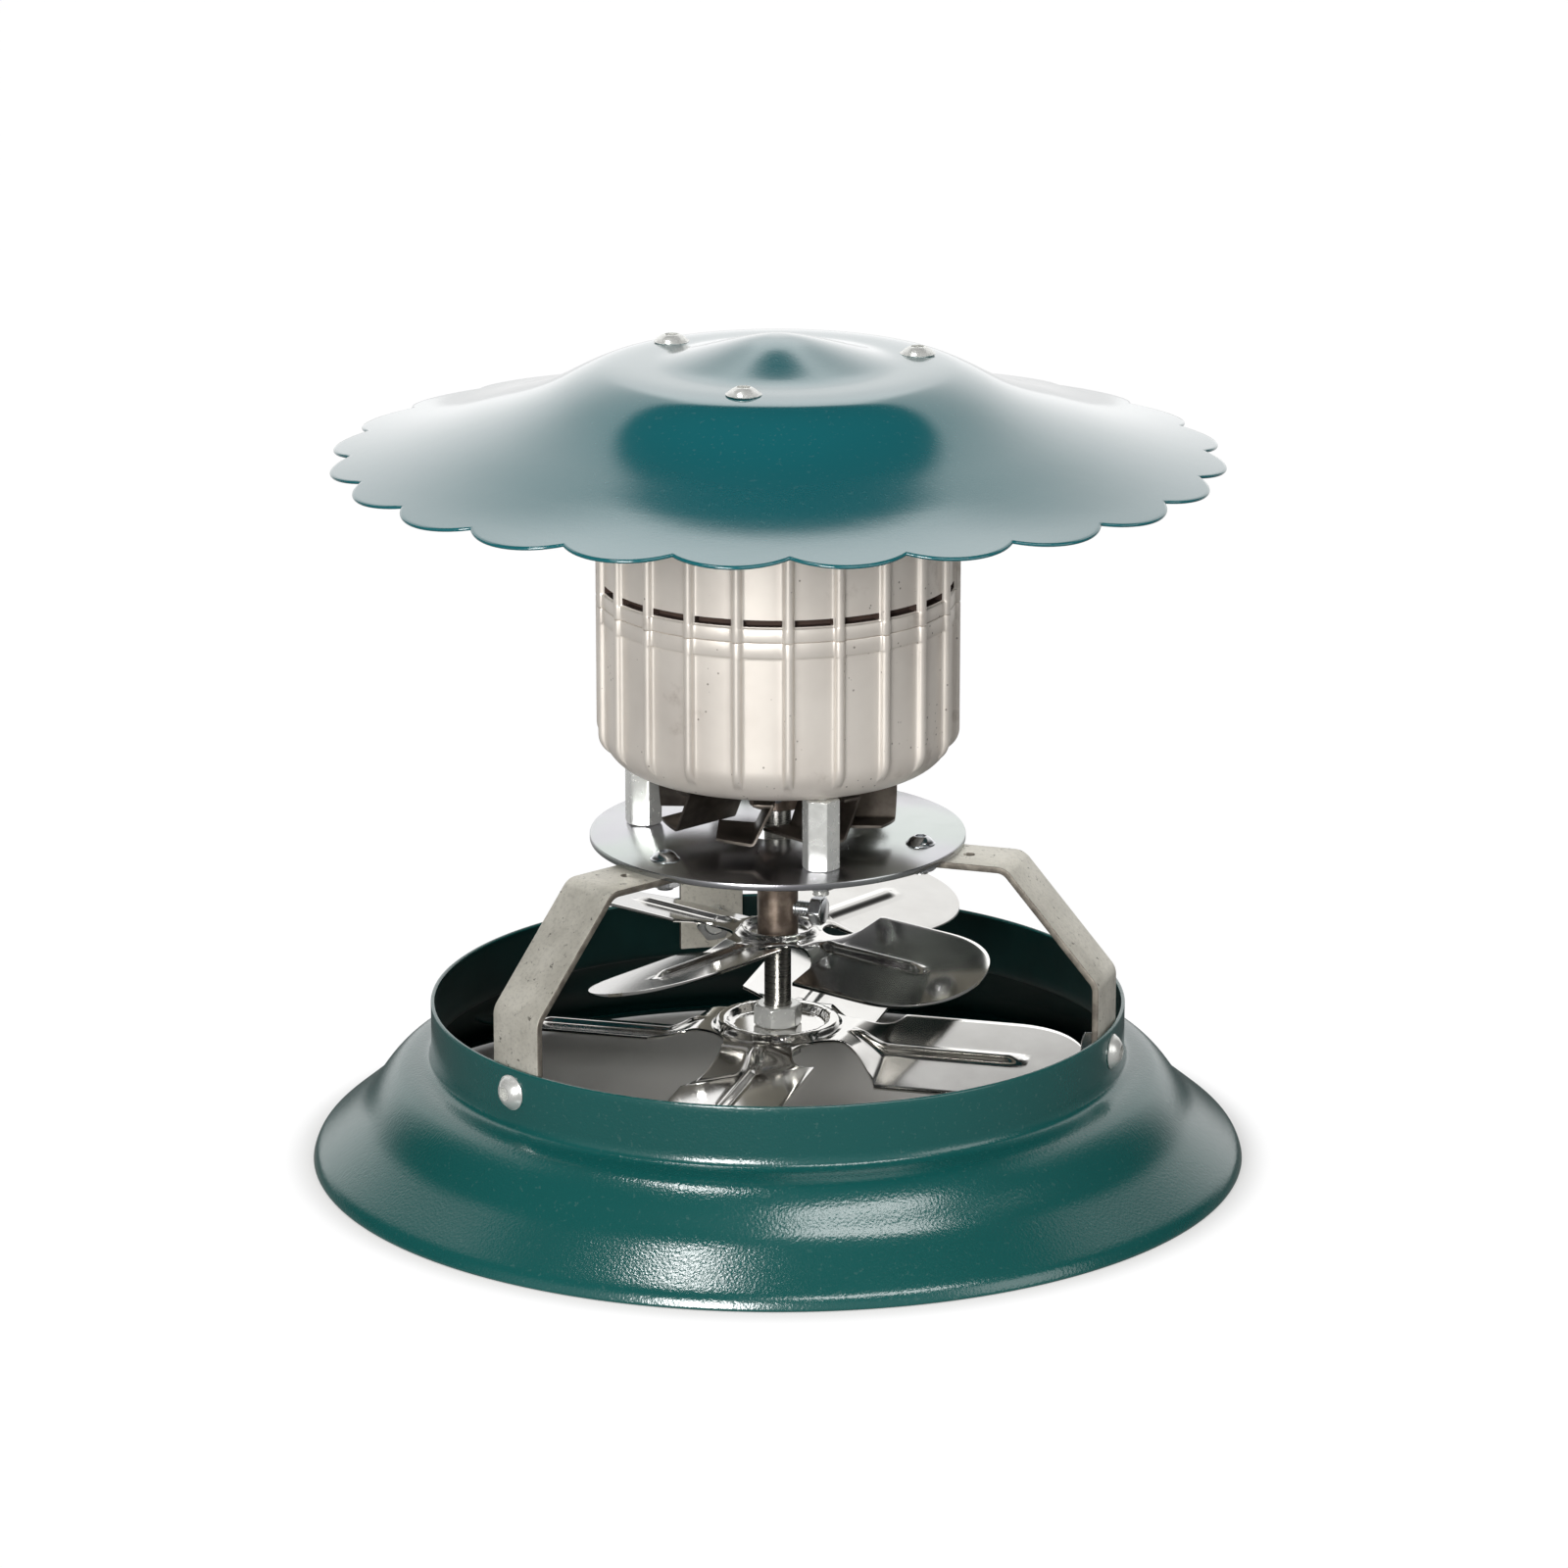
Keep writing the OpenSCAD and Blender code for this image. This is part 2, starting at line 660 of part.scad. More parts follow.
module shaft() {
    low = motor_z + bearing_inset + bearing_h + gap;
    high = motor_top - bearing_inset - bearing_h - gap;
    color("#c4c6c8") {
        translate([0, 0, shaft_end]) cylinder(d = shaft_d, h = shaft_top - shaft_end, $fn = small_fn);
        translate([0, 0, low]) cylinder(d = shoulder_d, h = high - low, $fn = small_fn);
    }
}

module rotor_core() {
    color("#8d8f92") {
        translate([0, 0, stack_z])
            ring(stator_bore / 2 - gap, shoulder_d / 2 + fit / 2, stack_h);
        translate([0, 0, stack_z - cage_h])
            ring(stator_bore / 2 - 4 * gap, stator_bore / 4, stack_h + 2 * cage_h);
    }
}

// Each blade of the cooling fan is folded down from the disc, with a lip along its foot.
module cooling_fan() {
    profile = bent([[0, 0], [-vane_lean, -vane_h], [-vane_lean - vane_lip, vane_t - vane_h]],
        2 * vane_t, 4);
    color("#55534c") translate([0, 0, vane_z]) difference() {
        intersection() {
            union() {
                translate([0, 0, -vane_t]) cylinder(r = fan_disc_r, h = vane_t, $fn = round_fn);
                around(vanes, vane_angle) {
                    translate([vane_root, 0, 0]) rotate([90, 0, 90])
                        linear_extrude(vane_r - vane_root) polygon(strip(profile, vane_t));
                    translate([vane_root / 2, -vane_lean, -vane_t])
                        cube([vane_r - vane_root / 2, vane_lean, vane_t]);
                }
            }
            translate([0, 0, -2 * vane_h]) cylinder(r = fan_blank_r, h = 3 * vane_h, $fn = round_fn);
        }
        translate([0, 0, -vane_t - over])
            cylinder(r = shaft_d / 2 + fit, h = vane_t + 2 * over, $fn = small_fn);
    }
}

module fan_hub() {
    color("#6e5a4c") translate([0, 0, vane_z - vane_t - fan_hub_h]) difference() {
        ring(fan_hub_d / 2, shaft_d / 2 + fit / 2, fan_hub_h);
        rotate([0, 0, vane_angle]) translate([0, 0, fan_hub_h / 2]) rotate([0, 90, 0])
            cylinder(d = bolt_d + 2 * fit, h = fan_hub_d, $fn = small_fn);
    }
}

module fan_hub_screw() {
    color("#3a3a3a") translate([0, 0, vane_z - vane_t - fan_hub_h / 2])
        rotate([0, 0, vane_angle]) translate([shaft_d / 2 + fit, 0, 0]) rotate([0, 90, 0])
            difference() {
                cylinder(d = bolt_d, h = (fan_hub_d - shaft_d) / 2 - fit, $fn = small_fn);
                translate([0, 0, bolt_d / 2]) hex(bolt_d / 2, fan_hub_d);
            }
}

// The bush is staked into the upper impeller at its foot.
module bush() {
    color("#6b584b") difference() {
        union() {
            translate([0, 0, upper_z]) cylinder(d = bush_d, h = bush_h, $fn = small_fn);
            translate([0, 0, upper_z - imp_t - bush_foot])
                cylinder(d = bush_neck_d, h = bush_h, $fn = small_fn);
        }
        translate([0, 0, upper_z - imp_t - bush_foot - over])
            cylinder(d = shaft_d + fit, h = bush_h + imp_t + bush_foot + 2 * over, $fn = small_fn);
        rotate([0, 0, bush_screw_angle]) translate([0, 0, bush_screw_z]) rotate([0, 90, 0])
            cylinder(d = bush_screw_d + 2 * fit, h = bush_d, $fn = small_fn);
    }
}

module bush_screw() {
    start = shaft_d / 2 + fit;
    reach = bush_d / 2 + bush_screw_len - start;
    color("#c9cbcc") rotate([0, 0, bush_screw_angle]) translate([start, 0, bush_screw_z])
        rotate([0, 90, 0]) {
            cylinder(d = bush_screw_d, h = reach + over, $fn = small_fn);
            translate([0, 0, reach]) hex(shaft_d, bush_screw_d * nut_h_share);
        }
}

// Pressed hub of an impeller: a flat seat, a raised ring and a flat skirt
module stamped_hub(bore, hub_r) {
    ring_out = hub_r - ring_margin;
    ring_in = hub_r * ring_in_share;
    slope = ring_rise / 2;
    top = [[bore / 2, 0], [ring_in - slope, 0], [ring_in, ring_rise], [ring_out - slope, ring_rise],
        [ring_out, 0], [hub_r + over, 0]];
    rotate_extrude($fn = round_fn)
        polygon(concat(top, flip([for (p = top) [p[0], p[1] - imp_t]])));
}

// Half width of an impeller at the distance u along a blade: a hollow curve of radius scoop
// between neighbouring blades, straight flanks, then a rounded tip
function half_width(u, half_w, tip, scoop, hub_r) =
    let(c = (hub_r + scoop) * cos(180 / blades),
        hollow = c - sqrt(max(pow(scoop, 2) - pow(u - c, 2), 0)),
        round_from = tip - tip_share * half_w)
        u < c + scoop * scoop_share ? min(hollow, half_w) :
        u < round_from ? half_w :
        half_w * pow(max(1 - pow((u - round_from) / (tip - round_from), tip_power), 0), 0.5);

// Stations along a blade: close together at the root step and at the rounded tip
function stations(tip, half_w, scoop, hub_r) =
    let(c = (hub_r + scoop) * cos(180 / blades), root = c + scoop,
        round_from = tip - tip_share * half_w)
        concat([for (k = [0:6]) hub_r - over + (root - hub_r + over) * k / 6],
            [for (k = [1:3]) root + (round_from - root) * k / 3],
            [for (k = [1:8]) round_from + (tip - round_from) * sin(85 * k / 8)]);

// One blade as a loft of sheet sections, with its root step, its pitch and its pressed rib
module stamped_blade(tip, half_w, pitch, step, scoop, hub_r) {
    c = (hub_r + scoop) * cos(180 / blades);
    root = c + scoop;
    step_from = hub_r + over;
    rib_end_u = tip - rib_stop_share * half_w;
    us = stations(tip, half_w, scoop, hub_r);
    sections = [for (u = us)
        let(w = half_width(u, half_w, tip, scoop, hub_r),
            turn = ease((u - step_from) / (root - step_from)),
            rib = ease((u - step_from) / rib_fade_in) * ease((rib_end_u - u) / rib_fade_out),
            side = min(rib_half, w * rib_half_share),
            vs = [-w, -side, 0, side, w],
            zs = [for (v = vs) (v * tan(pitch) - step) * turn + (v == 0 ? blade_rib_h * rib : 0)])
            concat([for (i = [0:4]) [u, vs[i], zs[i]]],
                [for (i = [4:-1:0]) [u, vs[i], zs[i] - imp_t]])];
    m = 10;
    last = len(us) - 1;
    polyhedron(
        points = [for (s = sections) each s],
        faces = concat(
            [for (i = [0:last - 1], j = [0:m - 1])
                let(a = i * m + j, b = i * m + (j + 1) % m) each [[a, b + m, a + m], [a, b, b + m]]],
            [for (i = [0:3]) each [[i, m - 2 - i, i + 1], [i, m - 1 - i, m - 2 - i]]],
            [for (i = [0:3]) let(k = last * m)
                each [[k + i, k + i + 1, k + m - 2 - i], [k + i, k + m - 2 - i, k + m - 1 - i]]]),
        convexity = 4);
}

module impeller(tip, half_w, pitch, step, scoop, hub_r, bore) {
    stamped_hub(bore, hub_r);
    around(blades, 0) stamped_blade(tip, half_w, pitch, step, scoop, hub_r);
}

module upper_impeller() {
    color("#d4d6d7") translate([0, 0, upper_z]) rotate([0, 0, upper_angle])
        impeller(upper_tip, upper_half_w, upper_pitch, upper_step, upper_scoop, upper_hub_r,
            bush_neck_d + fit);
}

module lower_impeller() {
    color("#dcdedf") translate([0, 0, lower_z]) rotate([0, 0, lower_angle])
        impeller(lower_tip, lower_half_w, lower_pitch, lower_step, lower_scoop, lower_hub_r,
            shaft_d + fit);
}

module impeller_washer() {
    color("#c9cbcc") translate([0, 0, lower_z - imp_t - washer_t])
        ring(washer_d / 2, shaft_d / 2 + fit, washer_t);
}

module impeller_nuts() {
    color("#cfd1d2") {
        translate([0, 0, lower_z + shaft_nut_h]) nut(shaft_nut_d, shaft_nut_af, shaft_nut_h);
        translate([0, 0, lower_z - imp_t - washer_t]) nut(shaft_nut_d, shaft_nut_af, shaft_nut_h);
    }
}

base_collar();
strap(0);  // strap_front_left
strap(1);  // strap_right
strap(2);  // strap_back
collar_screws();
collar_nuts();
mounting_plate();
plate_screws();
plate_nuts();
pillars();
pillar_nuts();
motor_lower_shell();
motor_upper_shell();
motor_bolts();
stator_core();
windings();
bearing(motor_z + bearing_inset);  // lower_bearing
bearing(motor_top - bearing_inset - bearing_h);  // upper_bearing
gland_body();
gland_nut();
rain_cap();
cap_screws();
shaft();
rotor_core();
cooling_fan();
fan_hub();
fan_hub_screw();
bush();
bush_screw();
upper_impeller();
lower_impeller();
impeller_washer();
impeller_nuts();
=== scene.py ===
"""Chimney draught fan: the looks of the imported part. Lengths are in millimetres until a mesh is made."""
import math

import bmesh
import bpy
import numpy as np
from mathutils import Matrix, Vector


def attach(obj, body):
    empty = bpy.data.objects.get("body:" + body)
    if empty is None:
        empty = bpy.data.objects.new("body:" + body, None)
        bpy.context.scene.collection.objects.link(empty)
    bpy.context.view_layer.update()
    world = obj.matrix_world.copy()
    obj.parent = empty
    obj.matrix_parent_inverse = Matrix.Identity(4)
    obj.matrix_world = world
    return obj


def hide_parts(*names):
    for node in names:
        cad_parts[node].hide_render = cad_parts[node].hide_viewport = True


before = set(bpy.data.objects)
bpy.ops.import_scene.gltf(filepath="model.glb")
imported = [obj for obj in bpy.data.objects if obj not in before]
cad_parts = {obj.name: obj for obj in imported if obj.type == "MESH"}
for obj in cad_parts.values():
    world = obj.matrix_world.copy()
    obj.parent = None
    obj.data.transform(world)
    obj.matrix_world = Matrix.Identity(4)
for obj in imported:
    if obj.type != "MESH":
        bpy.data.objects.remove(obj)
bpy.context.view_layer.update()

MM = 0.001
FULL = 2 * math.pi
WHITE = (1, 1, 1, 1)


# Sizes, as in the part's source but for the smoother lines of collar and cap, the wider pillars and the taller slots.
# The two TILT tables give a spun sheet's slope in degrees at each radius.
RIM_R, NECK_R, COLLAR_H, COLLAR_T, RIM_LIP = 140.0, 104.0, 49.0, 1.2, 4.0
FLARE_TILT = [(104, 86), (104.3, 74), (104.8, 50), (105.5, 24), (107, 11), (109, 10.5), (111, 15), (112.9, 24), (114, 34),
              (115, 40), (116, 44), (117, 47), (118, 50), (119, 52.5), (120, 55), (121, 56.3), (122, 56), (123, 54),
              (124, 50), (125, 45.5), (126, 42.5), (127, 40.8), (129, 40), (131, 40), (133, 39.8), (135, 40),
              (136.5, 40.5), (137.5, 43), (138.2, 49), (138.7, 58), (139.2, 67), (139.6, 72), (139.85, 78)]
# The second value is how far under the collar's top edge the painted shade inside begins.
CREASE_TOP, SHADE_EDGE = 34.2, 1.3
STRAP_ANGLES = (222, 342, 102)
STRAP_W, STRAP_T, STRAP_FOOT, STRAP_KNEE, STRAP_REACH, STRAP_LAP, STRAP_BEND = 20, 2, 16, 15.5, 17, 18, 5
FOOT_X, NECK_SCREW_Z = 102.26, 41.8
PLATE_R, PLATE_T, PLATE_Z, PLATE_BORE, PLATE_SCREW_R = 56.0, 2.0, 98.5, 20.0, 44.5
SPARE_HOLE_R, SPARE_HOLE_D, M5_HOLE, M6_HOLE = 59.5, 3.5, 5.1, 6.1
PILLAR_ANGLES = (288, 48, 168)
PILLAR_R, PILLAR_H, PILLAR_WIDE, PILLAR_NUT, STUD_R, STUD_PITCH = 41.0, 21.5, 9.8, 8.0, 2.5, 0.8
MOTOR_R, MOTOR_Z, JOINT_Z, MOTOR_TOP, SHELL_H = 54.0, 122.0, 172.0, 222.0, 50.0
WALL_R, SEAT_R, LEDGE, SHELL_WALL, SHELL_CORNER, STACK_H = 52.0, 49.2, 2.5, 2.8, 11.0, 38.0
RIBS, RIB_ANGLE, RIB_W, RIB_H, RIB_END, RIB_CORNER, BAND_STEP = 22, 273.5, 2.8, 2.0, 4.5, 7.0, 0.6
BAND_LOWER, BAND_UPPER, SLOT_GAP, SLOT_H, SLOT_DEPTH = 4.8, 4.2, 0.4, 2.0, 2.6
BOLT_ANGLES, BOLT_THREAD = (317, 77, 197), 14.0
HUB_R, HUB_H, BEARING_R, BEARING_FLOOR, BORE_R = 15.0, 11.0, 11.02, 4.0, 8.5
CAP_SCREW_ANGLES, CAP_SCREW_L = (17, 137, 257), 13.65
CAP_R, CAP_T, CAP_SCREW_R, CAP_UNDER, CAP_DROP, DOME_RISE = 131.5, 1.0, 43.0, 241.5, 28.0, 8.6
SCALLOPS, SCALLOP_DEPTH, LOBE_ANGLE, LOBES_FROM = 24, 6.4, 9.1, 104.0
CAP_TILT = [(0, 0), (3, 4.8), (6, 9.6), (9, 13.2), (12, 15.3), (15, 16.1), (19, 16.4), (22, 16.4), (25, 16.2),
            (28, 15.8), (30, 14.9), (32, 12.8), (34, 8.6), (35.5, 4.5), (37.3, 1.8), (41, 1.5), (43, 2.4), (45, 3.7),
            (47, 5.4), (49, 7.8), (51, 11.5), (53, 17), (54.6, 20.8), (57, 23.9), (59.7, 26.5), (62, 28.2), (64, 28.8),
            (66, 28.4), (68, 27.4), (70.5, 25.8), (73, 24.2), (75.4, 22.9), (78, 21.6), (80.8, 20.4), (83.7, 19.3),
            (86.7, 18.6), (89.7, 18.2), (92.8, 18), (95.8, 17.8), (98.9, 17.4), (102, 16.8), (105, 16.1), (108.3, 15.4),
            (111.5, 14.7), (114.8, 14), (118, 13.2), (121.5, 12.4), (125, 11.8), (128.4, 11.5), (131.5, 11.5)]
IMP_T, BLADES = 1.0, 4
UPPER = dict(z=69.0, angle=320, tip=75.46, half=21.0, pitch=14, step=1.0, scoop=8.0, hub=13.5, bore=5.03)
LOWER = dict(z=40.0, angle=345, tip=94.46, half=20.5, pitch=13, step=5.5, scoop=12.0, hub=20.5, bore=4.03)
SHAFT_LOW, SHAFT_HIGH = 27.9, 217.0


# Curves and forms
def rolled(tilts, high, low, step):
    """Line of a rolled sheet between two heights, from its slope in degrees at each radius."""
    r = np.linspace(tilts[0][0], tilts[-1][0], 4000)
    slope = np.tan(np.radians(np.interp(r, [t[0] for t in tilts], [t[1] for t in tilts])))
    fall = np.concatenate([[0], np.cumsum((slope[1:] + slope[:-1]) / 2 * np.diff(r))])
    fall *= (high - low) / fall[-1]
    length = np.concatenate([[0], np.cumsum(np.hypot(np.diff(r), np.diff(fall)))])
    along = np.linspace(0, length[-1], int(length[-1] / step) + 1)
    return np.stack([np.interp(along, length, r), high - np.interp(along, length, fall)], -1)


def bent(points, radius, steps):
    """Places and directions along a strip with rounded corners."""
    p = [np.array(q, float) for q in points]
    unit = lambda v: v / np.linalg.norm(v)
    left = lambda v: np.array([-v[1], v[0]])
    out = [(p[0], unit(p[1] - p[0]))]
    for i in range(1, len(p) - 1):
        a, b = unit(p[i] - p[i - 1]), unit(p[i + 1] - p[i])
        turn = math.atan2(a[0] * b[1] - a[1] * b[0], a @ b)
        side = math.copysign(1, turn)
        start = p[i] - a * radius * math.tan(abs(turn) / 2)
        centre = start + left(a) * radius * side
        for k in range(steps + 1):
            t = turn * k / steps
            d = np.array([a[0] * math.cos(t) - a[1] * math.sin(t), a[0] * math.sin(t) + a[1] * math.cos(t)])
            out.append((centre - left(d) * radius * side, d))
    out.append((p[-1], unit(p[-1] - p[-2])))
    return out


def ease(t):
    s = np.clip(t, 0, 1)
    return s * s * (3 - 2 * s)


def spin(points, degrees):
    a = math.radians(degrees)
    turn = np.array([[math.cos(a), math.sin(a), 0], [-math.sin(a), math.cos(a), 0], [0, 0, 1]])
    return np.asarray(points) @ turn


def lay_outwards(points):
    """Turns a form that stands along Z to lie along X."""
    p = np.asarray(points)
    return np.stack([p[..., 2], p[..., 1], -p[..., 0]], -1)


def hex_radius(angles, across, corner=0.985):
    a = (np.degrees(angles) % 60) - 30
    return np.minimum(across / 2 / np.cos(np.radians(a)), across / 2 / math.cos(math.pi / 6) * corner)


def lathe(rows, columns=64, start=0.0):
    """Rings of a turned form. A row is (radius, z) or (radius, z, width across flats)."""
    angles = math.radians(start) + np.arange(columns) * FULL / columns
    rings = []
    for row in rows:
        r = np.full(columns, float(row[0]))
        if len(row) > 2:
            r = np.minimum(r, hex_radius(angles - math.radians(start), row[2]))
        rings.append(np.stack([r * np.cos(angles), r * np.sin(angles), np.full(columns, float(row[1]))], -1))
    return np.array(rings)


def threaded(radius, low, high, pitch, columns=48, depth_share=0.6, per_turn=6):
    """Rings of a thread from low to high."""
    angles = np.arange(columns) * FULL / columns
    count = max(int((high - low) / pitch * per_turn), 2)
    rings = []
    for k in range(count + 1):
        z = low + (high - low) * k / count
        phase = (z / pitch - angles / FULL) % 1
        fade = min((z - low) / pitch, (high - z) / pitch, 1)
        r = radius - pitch * depth_share * np.abs(2 * phase - 1) * (0.35 + 0.65 * fade)
        rings.append(np.stack([r * np.cos(angles), r * np.sin(angles), np.full(columns, z)], -1))
    return np.array(rings)


class Form:
    """Points and faces of one piece, gathered from skins."""

    def __init__(self):
        self.points, self.faces = [], []
        self.count = 0

    def skin(self, rings, loop=False, caps=(False, False)):
        rings = np.asarray(rings, float)
        rows, columns = rings.shape[:2]
        base = self.count
        self.points.append(rings.reshape(-1, 3))
        self.count += rows * columns
        index = base + np.arange(rows * columns).reshape(rows, columns)
        upper = np.roll(index, -1, 0) if loop else index[1:]
        lower = index if loop else index[:-1]
        quads = np.stack([lower, np.roll(lower, -1, 1), np.roll(upper, -1, 1), upper], -1)
        self.faces += quads.reshape(-1, 4).tolist()
        if caps[0]:
            self.faces.append(index[0][::-1].tolist())
        if caps[1]:
            self.faces.append(index[-1].tolist())
        return self

    def mesh(self, name, sharp=38):
        mesh = bpy.data.meshes.new(name)
        mesh.from_pydata((np.concatenate(self.points) * MM).tolist(), [], self.faces)
        finish_mesh(mesh, sharp)
        return mesh


def finish_mesh(mesh, sharp):
    shape = bmesh.new()
    shape.from_mesh(mesh)
    bmesh.ops.remove_doubles(shape, verts=shape.verts, dist=1e-6)
    bmesh.ops.recalc_face_normals(shape, faces=shape.faces)
    shape.to_mesh(mesh)
    shape.free()
    mesh.shade_smooth()
    mesh.set_sharp_from_angle(angle=math.radians(sharp))


def piece(name, mesh, finish, body, nodes):
    """A finished piece in place of CAD nodes."""
    thing = bpy.data.objects.new(name, mesh)
    bpy.context.scene.collection.objects.link(thing)
    mesh.materials.clear()
    for one in (finish if isinstance(finish, (list, tuple)) else [finish]):
        mesh.materials.append(one)
    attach(thing, body)
    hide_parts(*nodes)
    return thing


def drilled(mesh, holes):
    """Cuts round holes, each (start, end, radius), out of a mesh."""
    body = bpy.data.objects.new("to_drill", mesh)
    bpy.context.scene.collection.objects.link(body)
    cutters = []
    for start, end, radius in holes:
        start, end = Vector(start) * MM, Vector(end) * MM
        cut = bmesh.new()
        bmesh.ops.create_cone(cut, cap_ends=True, segments=40, radius1=radius * MM, radius2=radius * MM,
                              depth=(end - start).length)
        data = bpy.data.meshes.new("hole")
        cut.to_mesh(data)
        cut.free()
        data.transform(((end - start).to_track_quat("Z", "Y")).to_matrix().to_4x4())
        for vertex in data.vertices:
            vertex.co += (start + end) / 2
        cutter = bpy.data.objects.new("hole", data)
        bpy.context.scene.collection.objects.link(cutter)
        cutters.append(cutter)
        step = body.modifiers.new("hole", "BOOLEAN")
        step.operation, step.solver, step.object = "DIFFERENCE", "EXACT", cutter
    bpy.context.view_layer.update()
    result = bpy.data.meshes.new_from_object(body.evaluated_get(bpy.context.evaluated_depsgraph_get()))
    for thing in [body] + cutters:
        bpy.data.objects.remove(thing)
    return result


def bevelled_copy(node, width, segments=2, angle=35):
    """A copy of a CAD node's mesh with small rounded edges."""
    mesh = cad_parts[node].data.copy()
    shape = bmesh.new()
    shape.from_mesh(mesh)
    bmesh.ops.remove_doubles(shape, verts=shape.verts, dist=2e-6)
    bmesh.ops.dissolve_limit(shape, angle_limit=math.radians(0.6), verts=shape.verts, edges=shape.edges)
    edges = [e for e in shape.edges if len(e.link_faces) == 2 and e.calc_face_angle(0) > math.radians(angle)]
    bmesh.ops.bevel(shape, geom=edges, offset=width * MM, segments=segments, profile=0.6, affect="EDGES",
                    clamp_overlap=True, loop_slide=True)
    shape.to_mesh(mesh)
    shape.free()
    mesh.shade_smooth()
    mesh.set_sharp_from_angle(angle=math.radians(32))
    return mesh


# Finishes
def shade(r, g, b):
    """A colour given as it looks on a screen, 0 to 255."""
    lin = lambda c: c / 12.92 if c <= 0.04045 else ((c + 0.055) / 1.055) ** 2.4
    return (lin(r / 255), lin(g / 255), lin(b / 255), 1)


class Wire:
    """A socket of a shader that takes part in sums."""

    def __init__(self, finish, socket):
        self.finish, self.socket = finish, socket

    def _sum(self, operation, a, b):
        return self.finish.node("ShaderNodeMath", {"operation": operation}, {0: a, 1: b})

    def __add__(self, other): return self._sum("ADD", self, other)
    def __radd__(self, other): return self._sum("ADD", other, self)
    def __sub__(self, other): return self._sum("SUBTRACT", self, other)
    def __rsub__(self, other): return self._sum("SUBTRACT", other, self)
    def __mul__(self, other): return self._sum("MULTIPLY", self, other)
    def __rmul__(self, other): return self._sum("MULTIPLY", other, self)
    def __pow__(self, other): return self._sum("POWER", self, other)


class Finish:
    """The nodes of one material, or of the world."""

    def __init__(self, name, owner=None):
        self.owner = owner or bpy.data.materials.new(name)
        self.owner.use_nodes = True
        self.tree = self.owner.node_tree
        self.tree.nodes.clear()

    def node(self, kind, settings=None, sockets=None, out=0):
        """Adds a node; a socket gets a Wire or a constant."""
        made = self.tree.nodes.new(kind)
        for key, value in (settings or {}).items():
            setattr(made, key, value)
        for key, value in (sockets or {}).items():
            if isinstance(value, Wire):
                self.tree.links.new(value.socket, made.inputs[key])
            else:
                made.inputs[key].default_value = value
        return Wire(self, made.outputs[out])

    def place(self, stretch=None):
        """Object coordinates in metres, stretched along the axes if asked."""
        spot = self.node("ShaderNodeTexCoord", out="Object")
        if stretch:
            spot = self.node("ShaderNodeVectorMath", {"operation": "MULTIPLY"}, {0: spot, 1: stretch})
        return spot

    def axis(self, spot):
        split = self.tree.nodes.new("ShaderNodeSeparateXYZ")
        self.tree.links.new(spot.socket, split.inputs[0])
        return [Wire(self, o) for o in split.outputs]

    def noise(self, spot, scale, detail=2.0, rough=0.5, warp=0.0):
        return self.node("ShaderNodeTexNoise", None, {"Vector": spot, "Scale": scale, "Detail": detail,
                                                      "Roughness": rough, "Distortion": warp})

    def cells(self, spot, scale):
        """Distance from the middle of the nearest cell."""
        return self.node("ShaderNodeTexVoronoi", None, {"Vector": spot, "Scale": scale}, "Distance")

    def between(self, value, low, high, to_low=0.0, to_high=1.0):
        """Runs smoothly from to_low to to_high while the value goes from low to high."""
        return self.node("ShaderNodeMapRange", {"clamp": True, "interpolation_type": "SMOOTHSTEP"},
                         {0: value, 1: low, 2: high, 3: to_low, 4: to_high})

    def mix(self, factor, a, b):
        return self.node("ShaderNodeMix", {"data_type": "RGBA"}, {0: factor, 6: a, 7: b}, 2)

    def bump(self, height, strength, distance):
        return self.node("ShaderNodeBump", None, {"Height": height, "Strength": strength, "Distance": distance * MM})

    def close(self, **sockets):
        names = {"colour": "Base Color", "rough": "Roughness", "metal": "Metallic", "normal": "Normal",
                 "coat": "Coat Weight", "coat_rough": "Coat Roughness", "ior": "IOR"}
        skin = self.node("ShaderNodeBsdfPrincipled", None, {names[k]: v for k, v in sockets.items()})
        self.node_out(skin)
        return self.owner

    def node_out(self, surface):
        kind = "ShaderNodeOutputWorld" if isinstance(self.owner, bpy.types.World) else "ShaderNodeOutputMaterial"
        last = self.tree.nodes.new(kind)
        self.tree.links.new(surface.socket, last.inputs[0])


def green_paint(name, low, high, rough, grain, coat, ior):
    """Dark green stove paint: fine orange peel, slight clouds and dust."""
    f = Finish(name)
    spot = f.place()
    cloud = f.noise(spot, 9, 3)
    peel = f.noise(spot, 1250, 1, 0.5)
    wave = f.noise(spot, 120, 2)
    dust = f.between(f.noise(spot, 700, 2, 0.6), 0.62, 0.72)
    colour = f.mix(cloud, low, high)
    colour = f.mix(dust * 0.06, colour, shade(150, 165, 160))
    return f.close(colour=colour, rough=rough + cloud * 0.06, metal=0.0, coat=coat, coat_rough=rough * 0.7,
                   ior=ior, normal=f.bump(peel * grain + wave * 0.5, 0.5, 0.1))


def throat_painted_shade():
    """The inside of the collar: thin dull paint, coloured near black as painted shade."""
    f = Finish("throat_painted_shade")
    spot = f.place()
    shade_cloud = f.noise(spot, 24, 4, 0.6)
    grain = f.noise(spot, 900, 3)
    colour = f.mix(f.between(shade_cloud, 0.3, 0.7), shade(2, 24, 23), shade(4, 36, 34))
    return f.close(colour=colour, rough=0.3 + shade_cloud * 0.2, metal=0.0, ior=1.3, normal=f.bump(grain, 0.3, 0.05))


